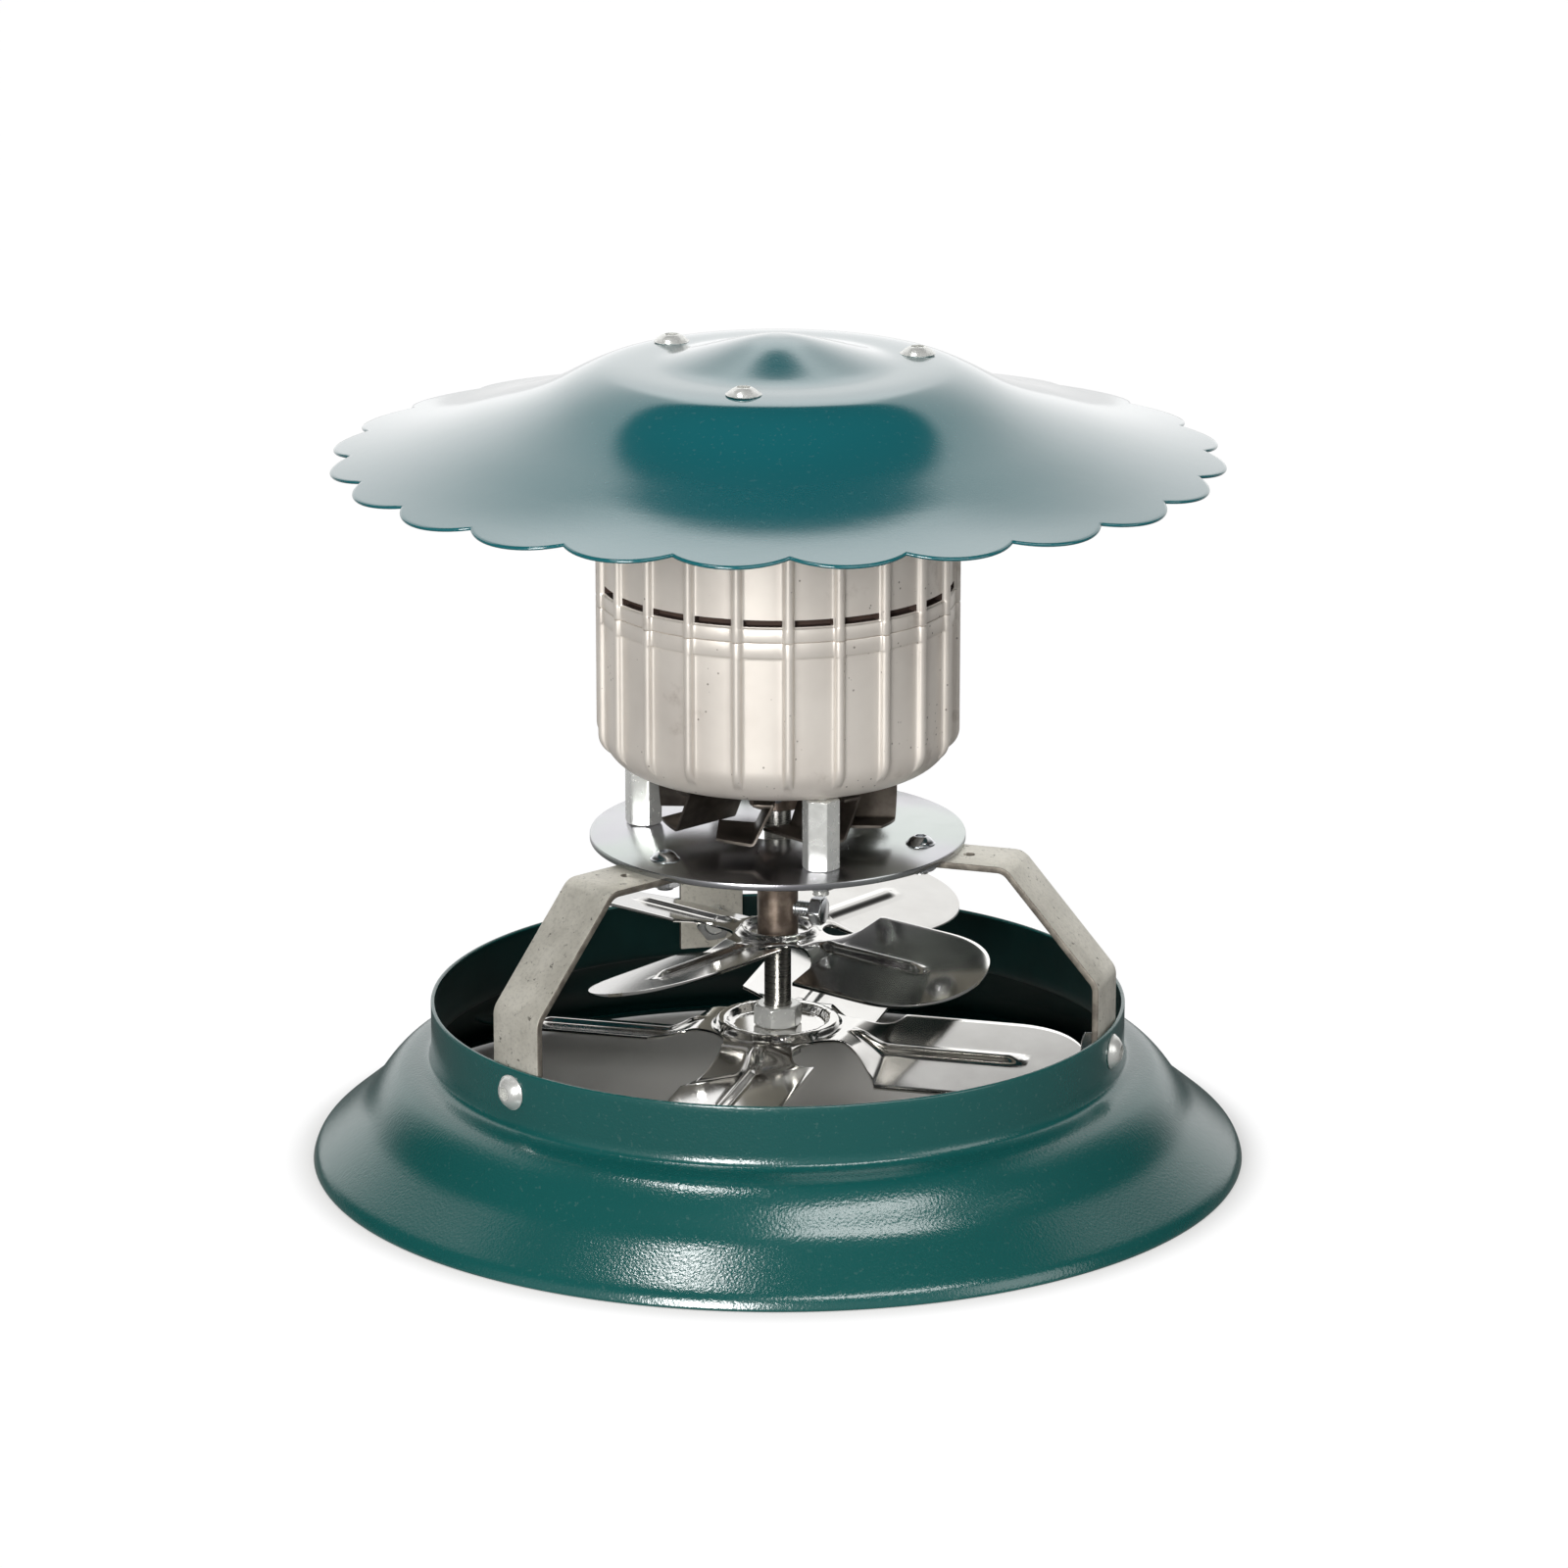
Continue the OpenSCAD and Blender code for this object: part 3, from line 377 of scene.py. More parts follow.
def cast_aluminium():
    """Die-cast aluminium: cloudy, with pits and brown stains."""
    f = Finish("cast_aluminium")
    spot = f.place()
    cloud = f.noise(spot, 22, 4, 0.55)
    grain = f.noise(spot, 2600, 2, 0.6)
    skin = f.noise(spot, 240, 4, 0.6)
    pits = f.between(f.cells(spot, 420), 0.10, 0.17, 1, 0) * f.between(f.noise(spot, 90, 2), 0.56, 0.62)
    stain = f.between(f.noise(spot, 48, 5, 0.62), 0.60, 0.74)
    colour = f.mix(f.between(cloud, 0.3, 0.7), shade(208, 200, 191), shade(226, 219, 210))
    colour = f.mix(stain * 0.55, colour, shade(150, 138, 126))
    colour = f.mix(pits * 0.7, colour, shade(96, 84, 74))
    rough = 0.40 + cloud * 0.10 + stain * 0.12
    relief = skin * 0.6 + grain * 0.4 - pits * 0.8
    return f.close(colour=colour, rough=rough, metal=0.5, normal=f.bump(relief, 0.35, 0.07))


def slot_shadow():
    """The inside of the motor's slots, coloured dark brown as painted shadow, mottled."""
    f = Finish("slot_shadow")
    shade_mottle = f.noise(f.place(), 300, 3)
    return f.close(colour=f.mix(shade_mottle, shade(46, 32, 26), shade(72, 54, 44)), rough=0.75 + shade_mottle * 0.1, metal=0.1,
                   normal=f.bump(shade_mottle, 0.3, 0.05))


def galvanised():
    """Dull galvanised strip with dark specks."""
    f = Finish("galvanised")
    spot = f.place()
    cloud = f.noise(spot, 55, 5, 0.6)
    fleck = f.noise(spot, 900, 3, 0.65)
    specks = f.between(f.noise(spot, 420, 4, 0.7), 0.62, 0.70)
    colour = f.mix(f.between(cloud, 0.3, 0.7), shade(196, 192, 180), shade(224, 220, 208))
    colour = f.mix(f.between(fleck, 0.45, 0.75) * 0.35, colour, shade(150, 146, 136))
    colour = f.mix(specks * 0.8, colour, shade(72, 66, 58))
    rough = 0.34 + cloud * 0.16 + specks * 0.2
    return f.close(colour=colour, rough=rough, metal=0.6, normal=f.bump(cloud * 0.6 + fleck * 0.4, 0.2, 0.05))


def cut_edge_shaded():
    """The cut edge of a galvanised strip: bare steel, coloured darker also as painted shade on the strip's sides."""
    f = Finish("cut_edge_shaded")
    spot = f.place()
    cloud = f.noise(spot, 300, 4, 0.6)
    colour = f.mix(f.between(cloud, 0.3, 0.7), shade(96, 90, 82), shade(132, 126, 116))
    return f.close(colour=colour, rough=0.42 + cloud * 0.16, metal=0.6, normal=f.bump(cloud, 0.3, 0.05))


def zinc_plate():
    """The smooth plate with its faint tint of clear passivation."""
    f = Finish("zinc_plate")
    spot = f.place()
    tint = f.noise(spot, 26, 2)
    streak = f.noise(f.place((900, 60, 900)), 1, 3, 0.6)
    haze = f.noise(spot, 120, 4)
    colour = f.mix(f.between(tint, 0.35, 0.65), shade(192, 191, 196), shade(188, 195, 191))
    rough = 0.22 + f.between(haze, 0.4, 0.8) * 0.05 + f.between(streak, 0.6, 0.8) * 0.05
    return f.close(colour=colour, rough=rough, metal=1.0, normal=f.bump(streak, 0.05, 0.02))


def bright_zinc(name, low, high, rough, metal):
    """Bright zinc plating of screws, nuts and pillars."""
    f = Finish(name)
    spot = f.place()
    haze = f.noise(spot, 400, 3)
    colour = f.mix(haze, low, high)
    return f.close(colour=colour, rough=rough + haze * 0.12, metal=metal, normal=f.bump(haze, 0.08, 0.03))


def stainless():
    """Polished sheet of the impellers, slightly smeared."""
    f = Finish("stainless")
    spot = f.place()
    haze = f.noise(spot, 80, 4, 0.6)
    lines = f.noise(f.place((1500, 1500, 40)), 1, 2)
    smear = f.between(f.noise(spot, 24, 4, 0.6, 0.6), 0.55, 0.75)
    colour = f.mix(haze, shade(214, 212, 208), shade(232, 231, 228))
    colour = f.mix(smear * 0.1, colour, shade(190, 182, 172))
    rough = 0.08 + haze * 0.06 + smear * 0.04
    return f.close(colour=colour, rough=rough, metal=1.0, normal=f.bump(lines * 0.3 + haze, 0.03, 0.02))


def ground_steel():
    """The shaft, with fine rings from grinding."""
    f = Finish("ground_steel")
    rings = f.noise(f.place((30, 30, 1500)), 1, 2)
    colour = f.mix(rings, shade(138, 136, 130), shade(176, 174, 168))
    return f.close(colour=colour, rough=0.22 + rings * 0.12, metal=1.0, normal=f.bump(rings, 0.08, 0.02))


def brown_steel():
    """Turned steel with a brown heat tint."""
    f = Finish("brown_steel")
    spot = f.place()
    rings = f.noise(f.place((60, 60, 2600)), 1, 2)
    patch = f.noise(spot, 180, 4, 0.6)
    colour = f.mix(f.between(patch, 0.35, 0.7), shade(100, 88, 78), shade(138, 124, 112))
    rough = 0.34 + patch * 0.2
    return f.close(colour=colour, rough=rough, metal=0.8, normal=f.bump(rings * 0.7 + patch * 0.3, 0.2, 0.04))


def dark_sheet():
    """Sheet of the cooling fan, coloured dark brown-grey as painted shade under the motor."""
    f = Finish("dark_sheet")
    spot = f.place()
    patch = f.noise(spot, 90, 4, 0.6)
    grain = f.noise(spot, 1500, 2)
    colour = f.mix(f.between(patch, 0.3, 0.7), shade(84, 78, 72), shade(122, 114, 106))
    return f.close(colour=colour, rough=0.26 + patch * 0.2, metal=0.9, normal=f.bump(grain, 0.1, 0.02))


def black_plastic():
    """Moulded plastic of the cable gland."""
    f = Finish("black_plastic")
    grain = f.noise(f.place(), 1800, 2)
    return f.close(colour=f.mix(grain, shade(30, 31, 32), shade(42, 43, 44)), rough=0.45 + grain * 0.1,
                   metal=0.0, normal=f.bump(grain, 0.3, 0.03))


def copper():
    """Enamelled wire of the windings."""
    f = Finish("copper")
    strands = f.noise(f.place((1200, 1200, 200)), 1, 2)
    return f.close(colour=f.mix(strands, shade(150, 76, 40), shade(200, 120, 72)), rough=0.3 + strands * 0.1,
                   metal=0.9, normal=f.bump(strands, 0.4, 0.1))


def core_steel():
    """Stacked sheets of the motor's core."""
    f = Finish("core_steel")
    layers = f.noise(f.place((20, 20, 2000)), 1, 2)
    return f.close(colour=f.mix(layers, shade(84, 84, 86), shade(128, 128, 130)), rough=0.45 + layers * 0.1,
                   metal=0.85, normal=f.bump(layers, 0.3, 0.05))


# One paint in two tones: the cap's lighter, bluer colours are painted light from above, and the collar's darker ones
# are painted shade under the cap.
CAP_GREEN_LIT = green_paint("cap_green_lit", shade(11, 76, 82), shade(16, 88, 94), 0.11, 0.3, 1.0, 1.5)
COLLAR_GREEN_SHADED = green_paint("collar_green_shaded", shade(9, 66, 63), shade(15, 78, 76), 0.17, 1.5, 0.0, 1.75)
# The throat finish is painted shade for the inside of the collar.
THROAT_SHADE = throat_painted_shade()
CAST, SLOT, GALV, CUT_SHADED, ZINC = cast_aluminium(), slot_shadow(), galvanised(), cut_edge_shaded(), zinc_plate()
BRIGHT = bright_zinc("bright_zinc", shade(196, 198, 200), shade(226, 228, 230), 0.14, 1.0)
SCREW = bright_zinc("screw_zinc", shade(206, 207, 203), shade(230, 230, 226), 0.2, 0.6)
STAINLESS, GROUND, BROWN = stainless(), ground_steel(), brown_steel()
SHEET_SHADED, PLASTIC, COPPER, CORE = dark_sheet(), black_plastic(), copper(), core_steel()


# Collar, straps and plate
def sheet_section(outer, thickness, nose=5):
    """A closed section of a sheet under the line outer, with round ends."""
    p = np.asarray(outer, float)
    along = np.gradient(p, axis=0)
    along /= np.linalg.norm(along, axis=1)[:, None]
    inward = np.stack([along[:, 1], -along[:, 0]], 1)
    half = thickness / 2
    middle = p + inward * half
    section = [middle[i] - inward[i] * half for i in range(len(p))]
    for k in range(1, nose):
        a = math.pi * k / nose
        section.append(middle[-1] - inward[-1] * half * math.cos(a) + along[-1] * half * math.sin(a))
    section += [middle[i] + inward[i] * half for i in range(len(p) - 1, -1, -1)]
    for k in range(1, nose):
        a = math.pi * k / nose
        section.append(middle[0] + inward[0] * half * math.cos(a) - along[0] * half * math.sin(a))
    return np.array(section)


def collar():
    """The spun collar; faces that look at the axis get the painted shade of the inside, up to just under the top edge.
    """
    flare = rolled(FLARE_TILT, CREASE_TOP, 0.6, 0.45)
    neck = [(NECK_R, z) for z in np.linspace(COLLAR_H - COLLAR_T / 2, flare[0][1] + 1, 8)]
    low = [(RIM_R - 0.35, 0.25), (RIM_R - 1.2, 0.02)]
    lip = [(RIM_R - 2.4, 0), (RIM_R - RIM_LIP + 0.6, 0)]
    outer = np.array(neck + [tuple(q) for q in flare] + low + lip)
    section = sheet_section(outer, COLLAR_T)
    form = Form().skin(lathe([tuple(q) for q in section], 288), loop=True)
    mesh = form.mesh("collar_sheet", 50)
    piece("collar_sheet", mesh, [COLLAR_GREEN_SHADED, THROAT_SHADE], "housing", ["base_collar"])
    # Inner faces below the top edge take the painted shade of the throat.
    for face in mesh.polygons:
        c, n = face.center, face.normal
        if c.x * n.x + c.y * n.y < 0 and c.z < (COLLAR_H - SHADE_EDGE) * MM:
            face.material_index = 1


def straps():
    """The bent straps, drilled, with a darker edge along both sides: bare steel and painted shade."""
    half = STRAP_T / 2
    middle_x, middle_z = FOOT_X - half, PLATE_Z - half
    path = bent([(middle_x, COLLAR_H - STRAP_FOOT), (middle_x, COLLAR_H + STRAP_KNEE),
                 (PLATE_R + STRAP_REACH, middle_z), (PLATE_R - STRAP_LAP, middle_z)], STRAP_BEND, 10)
    corner = 0.35
    outline = []
    for sx, sy, a0 in ((1, 1, 0), (-1, 1, 90), (-1, -1, 180), (1, -1, 270)):
        for k in range(4):
            a = math.radians(a0 + 30 * k)
            outline.append((sx * (half - corner) + corner * math.cos(a),
                            sy * (STRAP_W / 2 - corner) + corner * math.sin(a)))
    names = ("strap_front_left", "strap_right", "strap_back")
    for name, angle in zip(names, STRAP_ANGLES):
        rings = []
        for p, d in path:
            side = np.array([-d[1], d[0]])
            rings.append([(p[0] + side[0] * o[0], o[1], p[1] + side[1] * o[0]) for o in outline])
        form = Form().skin(rings, caps=(True, True))
        holes = [((SPARE_HOLE_R, 0, middle_z - 4), (SPARE_HOLE_R, 0, middle_z + 4), SPARE_HOLE_D / 2),
                 ((PLATE_SCREW_R, 0, middle_z - 4), (PLATE_SCREW_R, 0, middle_z + 4), M5_HOLE / 2),
                 ((middle_x - 4, 0, NECK_SCREW_Z), (middle_x + 4, 0, NECK_SCREW_Z), M6_HOLE / 2)]
        mesh = drilled(form.mesh(name + "_blank"), holes)
        co = np.zeros(len(mesh.vertices) * 3)
        mesh.vertices.foreach_get("co", co)
        mesh.vertices.foreach_set("co", spin(co.reshape(-1, 3), angle).ravel())
        finish_mesh(mesh, 32)
        piece(name + "_bent", mesh, [GALV, CUT_SHADED], "housing", [name])
        across = Vector(spin((0, 1, 0), angle))
        # Faces along the strip's width take the darker edge finish, partly bare steel and partly painted shade.
        for face in mesh.polygons:
            if abs(face.normal @ across) > 0.7:
                face.material_index = 1


def plate():
    edge = 0.35
    rows = [(PLATE_BORE / 2 + edge, PLATE_Z), (PLATE_R - edge, PLATE_Z), (PLATE_R - 0.1, PLATE_Z + 0.1),
            (PLATE_R, PLATE_Z + edge), (PLATE_R, PLATE_Z + PLATE_T - edge), (PLATE_R - 0.1, PLATE_Z + PLATE_T - 0.1),
            (PLATE_R - edge, PLATE_Z + PLATE_T), (PLATE_BORE / 2 + edge, PLATE_Z + PLATE_T),
            (PLATE_BORE / 2, PLATE_Z + PLATE_T - edge), (PLATE_BORE / 2, PLATE_Z + edge)]
    form = Form().skin(lathe(rows, 192), loop=True)
    piece("plate_disc", form.mesh("plate_disc", 30), ZINC, "housing", ["mounting_plate"])


# Fasteners
def button_screw(d, length, pitch, tall=0.55, plain=0.8):
    """Button-head screw along -Z, with the underside of its head at the origin and a plain shank, as skins."""
    head_r, head_h, socket = d * 1.75 / 2, d * tall, d * 0.62
    dome = (head_r ** 2 + head_h ** 2) / (2 * head_h)
    z_at = lambda r: head_h - dome + math.sqrt(dome * dome - r * r)
    top = [(9, head_h * 0.42, socket), (9, z_at(socket / 2) - 0.12, socket), (socket * 0.62, z_at(socket * 0.62))]
    top += [(r, z_at(r)) for r in np.linspace(socket * 0.68, head_r - 0.25, 9)]
    top += [(head_r, 0.3), (head_r - 0.08, 0.05), (head_r - 0.2, 0), (d / 2, 0)]
    shank = [(d / 2, 0), (d / 2, -plain)]
    return [(lathe(top, 72), (True, False)), (lathe(shank, 72), (False, False)),
            (threaded(d / 2, -length, -plain, pitch), (True, True))]


def nut(d, across, h):
    """Hexagonal nut whose upper face is at the origin."""
    flat, corner = across * 0.475, across * 0.6
    deep = across * 0.07
    ramp = [(flat + (corner - flat) * t, deep * t) for t in np.linspace(0, 1, 6)]
    rows = [(d / 2 + 0.35, -h), (flat - 0.3, -h, across)] + [(r, -h + z, across) for r, z in ramp]
    rows += [(r, -z, across) for r, z in ramp[::-1]] + [(flat - 0.3, 0, across), (d / 2 + 0.35, 0)]
    rows += [(d / 2 + 0.02, -0.35), (d / 2 + 0.02, 0.35 - h)]
    return [(lathe(rows, 72), "loop")]


def add(form, skins, move):
    for rings, ends in skins:
        if ends == "loop":
            form.skin(move(rings), loop=True)
        else:
            form.skin(move(rings), caps=ends)


def fasteners():
    grip = NECK_R - FOOT_X + STRAP_T + 6 * 0.8 + 0.4
    form = Form()
    for i, angle in enumerate(STRAP_ANGLES):
        add(form, button_screw(6, grip, 1.0),
            lambda q, a=angle, s=17 * i: spin(lay_outwards(spin(q, s)) + (NECK_R, 0, NECK_SCREW_Z), a))
    piece("collar_screw_set", form.mesh("collar_screw_set"), SCREW, "housing", ["collar_screws"])
    form = Form()
    for i, angle in enumerate(STRAP_ANGLES):
        add(form, nut(6, 9.9, 4.8),
            lambda q, a=angle, s=12 * i: spin(lay_outwards(spin(q, s)) + (FOOT_X - STRAP_T, 0, NECK_SCREW_Z), a))
    piece("collar_nut_set", form.mesh("collar_nut_set"), BRIGHT, "housing", ["collar_nuts"])
    form = Form()
    for i, angle in enumerate(STRAP_ANGLES):
        add(form, button_screw(5, PLATE_T + STRAP_T + 5, 0.8),
            lambda q, a=angle, s=23 * i: spin(spin(q, s) + (PLATE_SCREW_R, 0, PLATE_Z + PLATE_T), a))
    piece("plate_screw_set", form.mesh("plate_screw_set"), BRIGHT, "housing", ["plate_screws"])
    form = Form()
    for i, angle in enumerate(STRAP_ANGLES):
        add(form, nut(5, 8.25, 4),
            lambda q, a=angle, s=19 * i: spin(spin(q, s) + (PLATE_SCREW_R, 0, PLATE_Z - STRAP_T), a))
    piece("plate_nut_set", form.mesh("plate_nut_set"), BRIGHT, "housing", ["plate_nuts"])
    form = Form()
    for i, angle in enumerate(CAP_SCREW_ANGLES):
        add(form, button_screw(6, CAP_SCREW_L, 1.0, 0.45),
            lambda q, a=angle, s=29 * i: spin(spin(q, s) + (CAP_SCREW_R, 0, CAP_UNDER + CAP_T + 0.2), a))
    piece("cap_screw_set", form.mesh("cap_screw_set"), SCREW, "housing", ["cap_screws"])
    form = Form()
    for i, angle in enumerate(BOLT_ANGLES):
        reach = MOTOR_TOP + 1 - MOTOR_Z - 2 * SHELL_WALL
        add(form, button_screw(4, reach, 0.7, plain=reach - BOLT_THREAD),
            lambda q, a=angle, s=31 * i: spin(spin(q, s) + (PILLAR_R, 0, MOTOR_TOP + 1), a))
    piece("motor_bolt_set", form.mesh("motor_bolt_set"), BRIGHT, "housing", ["motor_bolts"])
    tip = [(PILLAR_WIDE * (0.46 + 0.12 * t), 0.55 * t, PILLAR_WIDE) for t in np.linspace(0, 1, 5)]
    hexed = [(STUD_R, 0)] + tip + [(r, PILLAR_H - z, a) for r, z, a in tip[::-1]] + [(STUD_R, PILLAR_H)]
    form = Form()
    for angle in PILLAR_ANGLES:
        skins = [(lathe(hexed, 72), (True, True)), (threaded(STUD_R, -8, 0.2, STUD_PITCH), (True, True)),
                 (threaded(STUD_R, PILLAR_H - 0.2, PILLAR_H + 9, STUD_PITCH), (True, True))]
        add(form, skins, lambda q, a=angle: spin(q + (PILLAR_R, 0, PLATE_Z + PLATE_T), a))
    piece("pillar_set", form.mesh("pillar_set", 30), SCREW, "housing", ["pillars"])
    form = Form()
    for angle in PILLAR_ANGLES:
        add(form, nut(5, PILLAR_NUT, 4), lambda q, a=angle: spin(q + (PILLAR_R, 0, PLATE_Z), a))
    piece("pillar_nut_set", form.mesh("pillar_nut_set"), BRIGHT, "housing", ["pillar_nuts"])


# Motor
def shell_rows(h, band_h):
    """Outer line of a shell from its bore to its joint: (radius, z, outward radius, outward z, rib height)."""
    rows = [(r, 0.0, 0.0, -1.0, 0.0) for r in (BORE_R, 14.0, 22.0, 30.0, 36.0)]
    for k in range(19):
        a = math.radians(-90 + 90 * k / 18)
        r, z = WALL_R - SHELL_CORNER + SHELL_CORNER * math.cos(a), SHELL_CORNER + SHELL_CORNER * math.sin(a)
        d = np.array([r - (MOTOR_R - RIB_CORNER), z - (RIB_END + RIB_CORNER)])
        n = np.array([math.cos(a), math.sin(a)])
        root = (d @ n) ** 2 - d @ d + RIB_CORNER ** 2
        rise = -d @ n + math.sqrt(root) if root > 0 else 0.0
        rows.append((r, z, n[0], n[1], max(rise, 0.0) if z < 10.9 or rise < RIB_H else RIB_H))
    top = h - band_h
    for z in np.linspace(SHELL_CORNER + 1.5, top - 0.8, 12):
        rows.append((WALL_R, z, 1.0, 0.0, RIB_H))
    return rows, top


def rib_columns():
    """Places round the shell, in degrees, and their distance from the nearest rib in millimetres."""
    pitch = 360 / RIBS
    half = math.radians(pitch / 2) * WALL_R
    sides = [0.35, 0.7, 1.0, 1.22, 1.36, 1.42, 1.6, 1.8, 1.88, 2.4, 3.6, 5.2]
    steps = [-s for s in sides[::-1]] + [0] + sides + [half]
    places, off = [], []
    for i in range(RIBS):
        for s in steps:
            places.append(RIB_ANGLE + i * pitch + math.degrees(s / WALL_R))
            off.append(abs(s))
    return np.radians(np.array(places)), np.array(off)


def rib_profile(off):
    nose, foot, root = RIB_W / 2, RIB_H - RIB_W / 2, 0.8
    crown = foot + np.sqrt(np.clip(nose ** 2 - off ** 2, 0, None))
    toe = foot * np.clip(1 - (off - nose) / root, 0, 1) ** 2
    return np.where(off <= nose, crown, toe) / RIB_H


def shell_skin(h, band_h, slotted, flip_at=None, lift=0.0):
    """Closed skin of a die-cast shell with its ribs and its band at the joint."""
    angles, off = rib_columns()
    profile = rib_profile(off)
    rows, top = shell_rows(h, band_h)
    rings = []

    def ring(r, z, nr=1.0, nz=0.0, rise=0.0, dent=0.0):
        radius = r + nr * rise * profile - dent * (off > 1.85)
        height = z + nz * rise * profile
        rings.append(np.stack([radius * np.cos(angles), radius * np.sin(angles), height], -1))

    for row in rows:
        ring(*row)
    if slotted:
        low, high = top - SLOT_GAP - SLOT_H, top - SLOT_GAP
        rings.pop()
        ring(WALL_R, low - 0.25, 1, 0, RIB_H)
        ring(WALL_R, low - 0.02, 1, 0, RIB_H)
        ring(WALL_R, low, 1, 0, RIB_H, SLOT_DEPTH)
        ring(WALL_R, high, 1, 0, RIB_H, SLOT_DEPTH)
        ring(WALL_R, high + 0.02, 1, 0, RIB_H)
        ring(WALL_R, top - 0.1, 1, 0, RIB_H)
    else:
        ring(WALL_R, top - 0.35, 1, 0, RIB_H)
    ring(WALL_R + 0.12, top, 1, 0, RIB_H - 0.12)
    ring(WALL_R + BAND_STEP - 0.12, top + 0.15, 1, 0, RIB_H - BAND_STEP + 0.12)
    ring(WALL_R + BAND_STEP, top + 0.4, 1, 0, RIB_H - BAND_STEP)
    ring(WALL_R + BAND_STEP, h - 0.45, 1, 0, RIB_H - BAND_STEP)
    ring(WALL_R + BAND_STEP - 0.1, h - 0.15, 1, 0, RIB_H - BAND_STEP)
    ring(WALL_R + BAND_STEP - 0.4, h, 1, 0, RIB_H - BAND_STEP)
    inner = SEAT_R - LEDGE
    for r, z in ((SEAT_R, h), (SEAT_R, h - STACK_H / 2), (inner, h - STACK_H / 2), (inner, 11.0), (inner - 2.4, 5.2),
                 (inner - 8.2, SHELL_WALL), (HUB_R, SHELL_WALL), (HUB_R, HUB_H), (BEARING_R, HUB_H),
                 (BEARING_R, BEARING_FLOOR), (BORE_R, BEARING_FLOOR)):
        ring(r, z)
    rings = np.array(rings)
    if flip_at is not None:
        rings[..., 2] = flip_at - rings[..., 2]
    rings[..., 2] += lift
    return rings


def paint_slot_shadows(mesh, low, high):
    """Gives the inside of the slots, between two heights, the painted shadow finish."""
    for face in mesh.polygons:
        c = face.center
        if low < c.z < high and 30 * MM < math.hypot(c.x, c.y) < (WALL_R - 0.6) * MM:
            face.material_index = 1


def motor():
    form = Form().skin(shell_skin(SHELL_H, BAND_LOWER, False, lift=MOTOR_Z), loop=True)
    piece("motor_lower_casting", form.mesh("motor_lower_casting", 42), CAST, "housing", ["motor_lower_shell"])
    form = Form().skin(shell_skin(SHELL_H, BAND_UPPER, True, flip_at=MOTOR_TOP), loop=True)
    boss = [(6.6, MOTOR_TOP - 4), (6.6, MOTOR_TOP + 0.3), (6.15, MOTOR_TOP + 1.2), (6.0, MOTOR_TOP + 2.4),
            (6.0, CAP_UNDER), (5.7, CAP_UNDER + 0.4)]
    for angle in CAP_SCREW_ANGLES:
        form.skin(spin(lathe(boss, 48) + (CAP_SCREW_R, 0, 0), angle), caps=(True, True))
    pad = [(5.4, MOTOR_TOP - 4), (5.3, MOTOR_TOP + 0.2), (5.0, MOTOR_TOP + 0.8), (4.7, MOTOR_TOP + 1)]
    for angle in BOLT_ANGLES:
        form.skin(spin(lathe(pad, 40) + (PILLAR_R, 0, 0), angle), caps=(True, True))
    mesh = form.mesh("motor_upper_casting", 42)
    piece("motor_upper_casting", mesh, [CAST, SLOT], "housing", ["motor_upper_shell"])
    # The slots' inner faces take the painted slot shadow.
    paint_slot_shadows(mesh, (JOINT_Z + BAND_UPPER + 0.3) * MM, (JOINT_Z + BAND_UPPER + 2.5) * MM)


# Rain cap
def cap():
    """The spun cap: round rings inside, and rings that reach into the scallops outside."""
    line = rolled(CAP_TILT, CAP_UNDER + CAP_T + DOME_RISE, CAP_UNDER + CAP_T - CAP_DROP, 1.4)
    columns = SCALLOPS * 20
    angles = math.radians(LOBE_ANGLE) + np.arange(columns) * FULL / columns
    cusp = CAP_R - SCALLOP_DEPTH
    half = cusp * math.sin(math.pi / SCALLOPS)
    bulge = CAP_R - cusp * math.cos(math.pi / SCALLOPS)
    lobe = (half ** 2 + bulge ** 2) / (2 * bulge)
    off = (angles - math.radians(LOBE_ANGLE) + math.pi / SCALLOPS) % (FULL / SCALLOPS) - math.pi / SCALLOPS
    reach = (CAP_R - lobe) * np.cos(off) + np.sqrt(lobe ** 2 - ((CAP_R - lobe) * np.sin(off)) ** 2)
    radii = [q[0] for q in line if 1.5 < q[0] < LOBES_FROM]
    heights = lambda r: np.interp(r, line[:, 0], line[:, 1])
    upper = [(np.full(columns, r), heights(np.full(columns, r))) for r in radii]
    nose = CAP_T / 2
    for t in (0, 0.12, 0.24, 0.36, 0.48, 0.6, 0.7, 0.8, 0.88, 0.94, 0.98):
        r = LOBES_FROM + (reach - nose - LOBES_FROM) * t
        upper.append((r, heights(r)))
    edge = []
    for k in range(1, 6):
        a = math.pi * (k / 6) - math.pi / 2
        r = reach - nose + nose * math.cos(a)
        edge.append((r, heights(reach - nose) - nose - nose * math.sin(a)))
    under = [(r, z - CAP_T) for r, z in upper[::-1]]
    rings = [np.stack([r * np.cos(angles), r * np.sin(angles), z], -1) for r, z in upper + edge + under]
    form = Form().skin(rings, caps=(True, True))
    piece("cap_sheet", form.mesh("cap_sheet", 50), CAP_GREEN_LIT, "housing", ["rain_cap"])


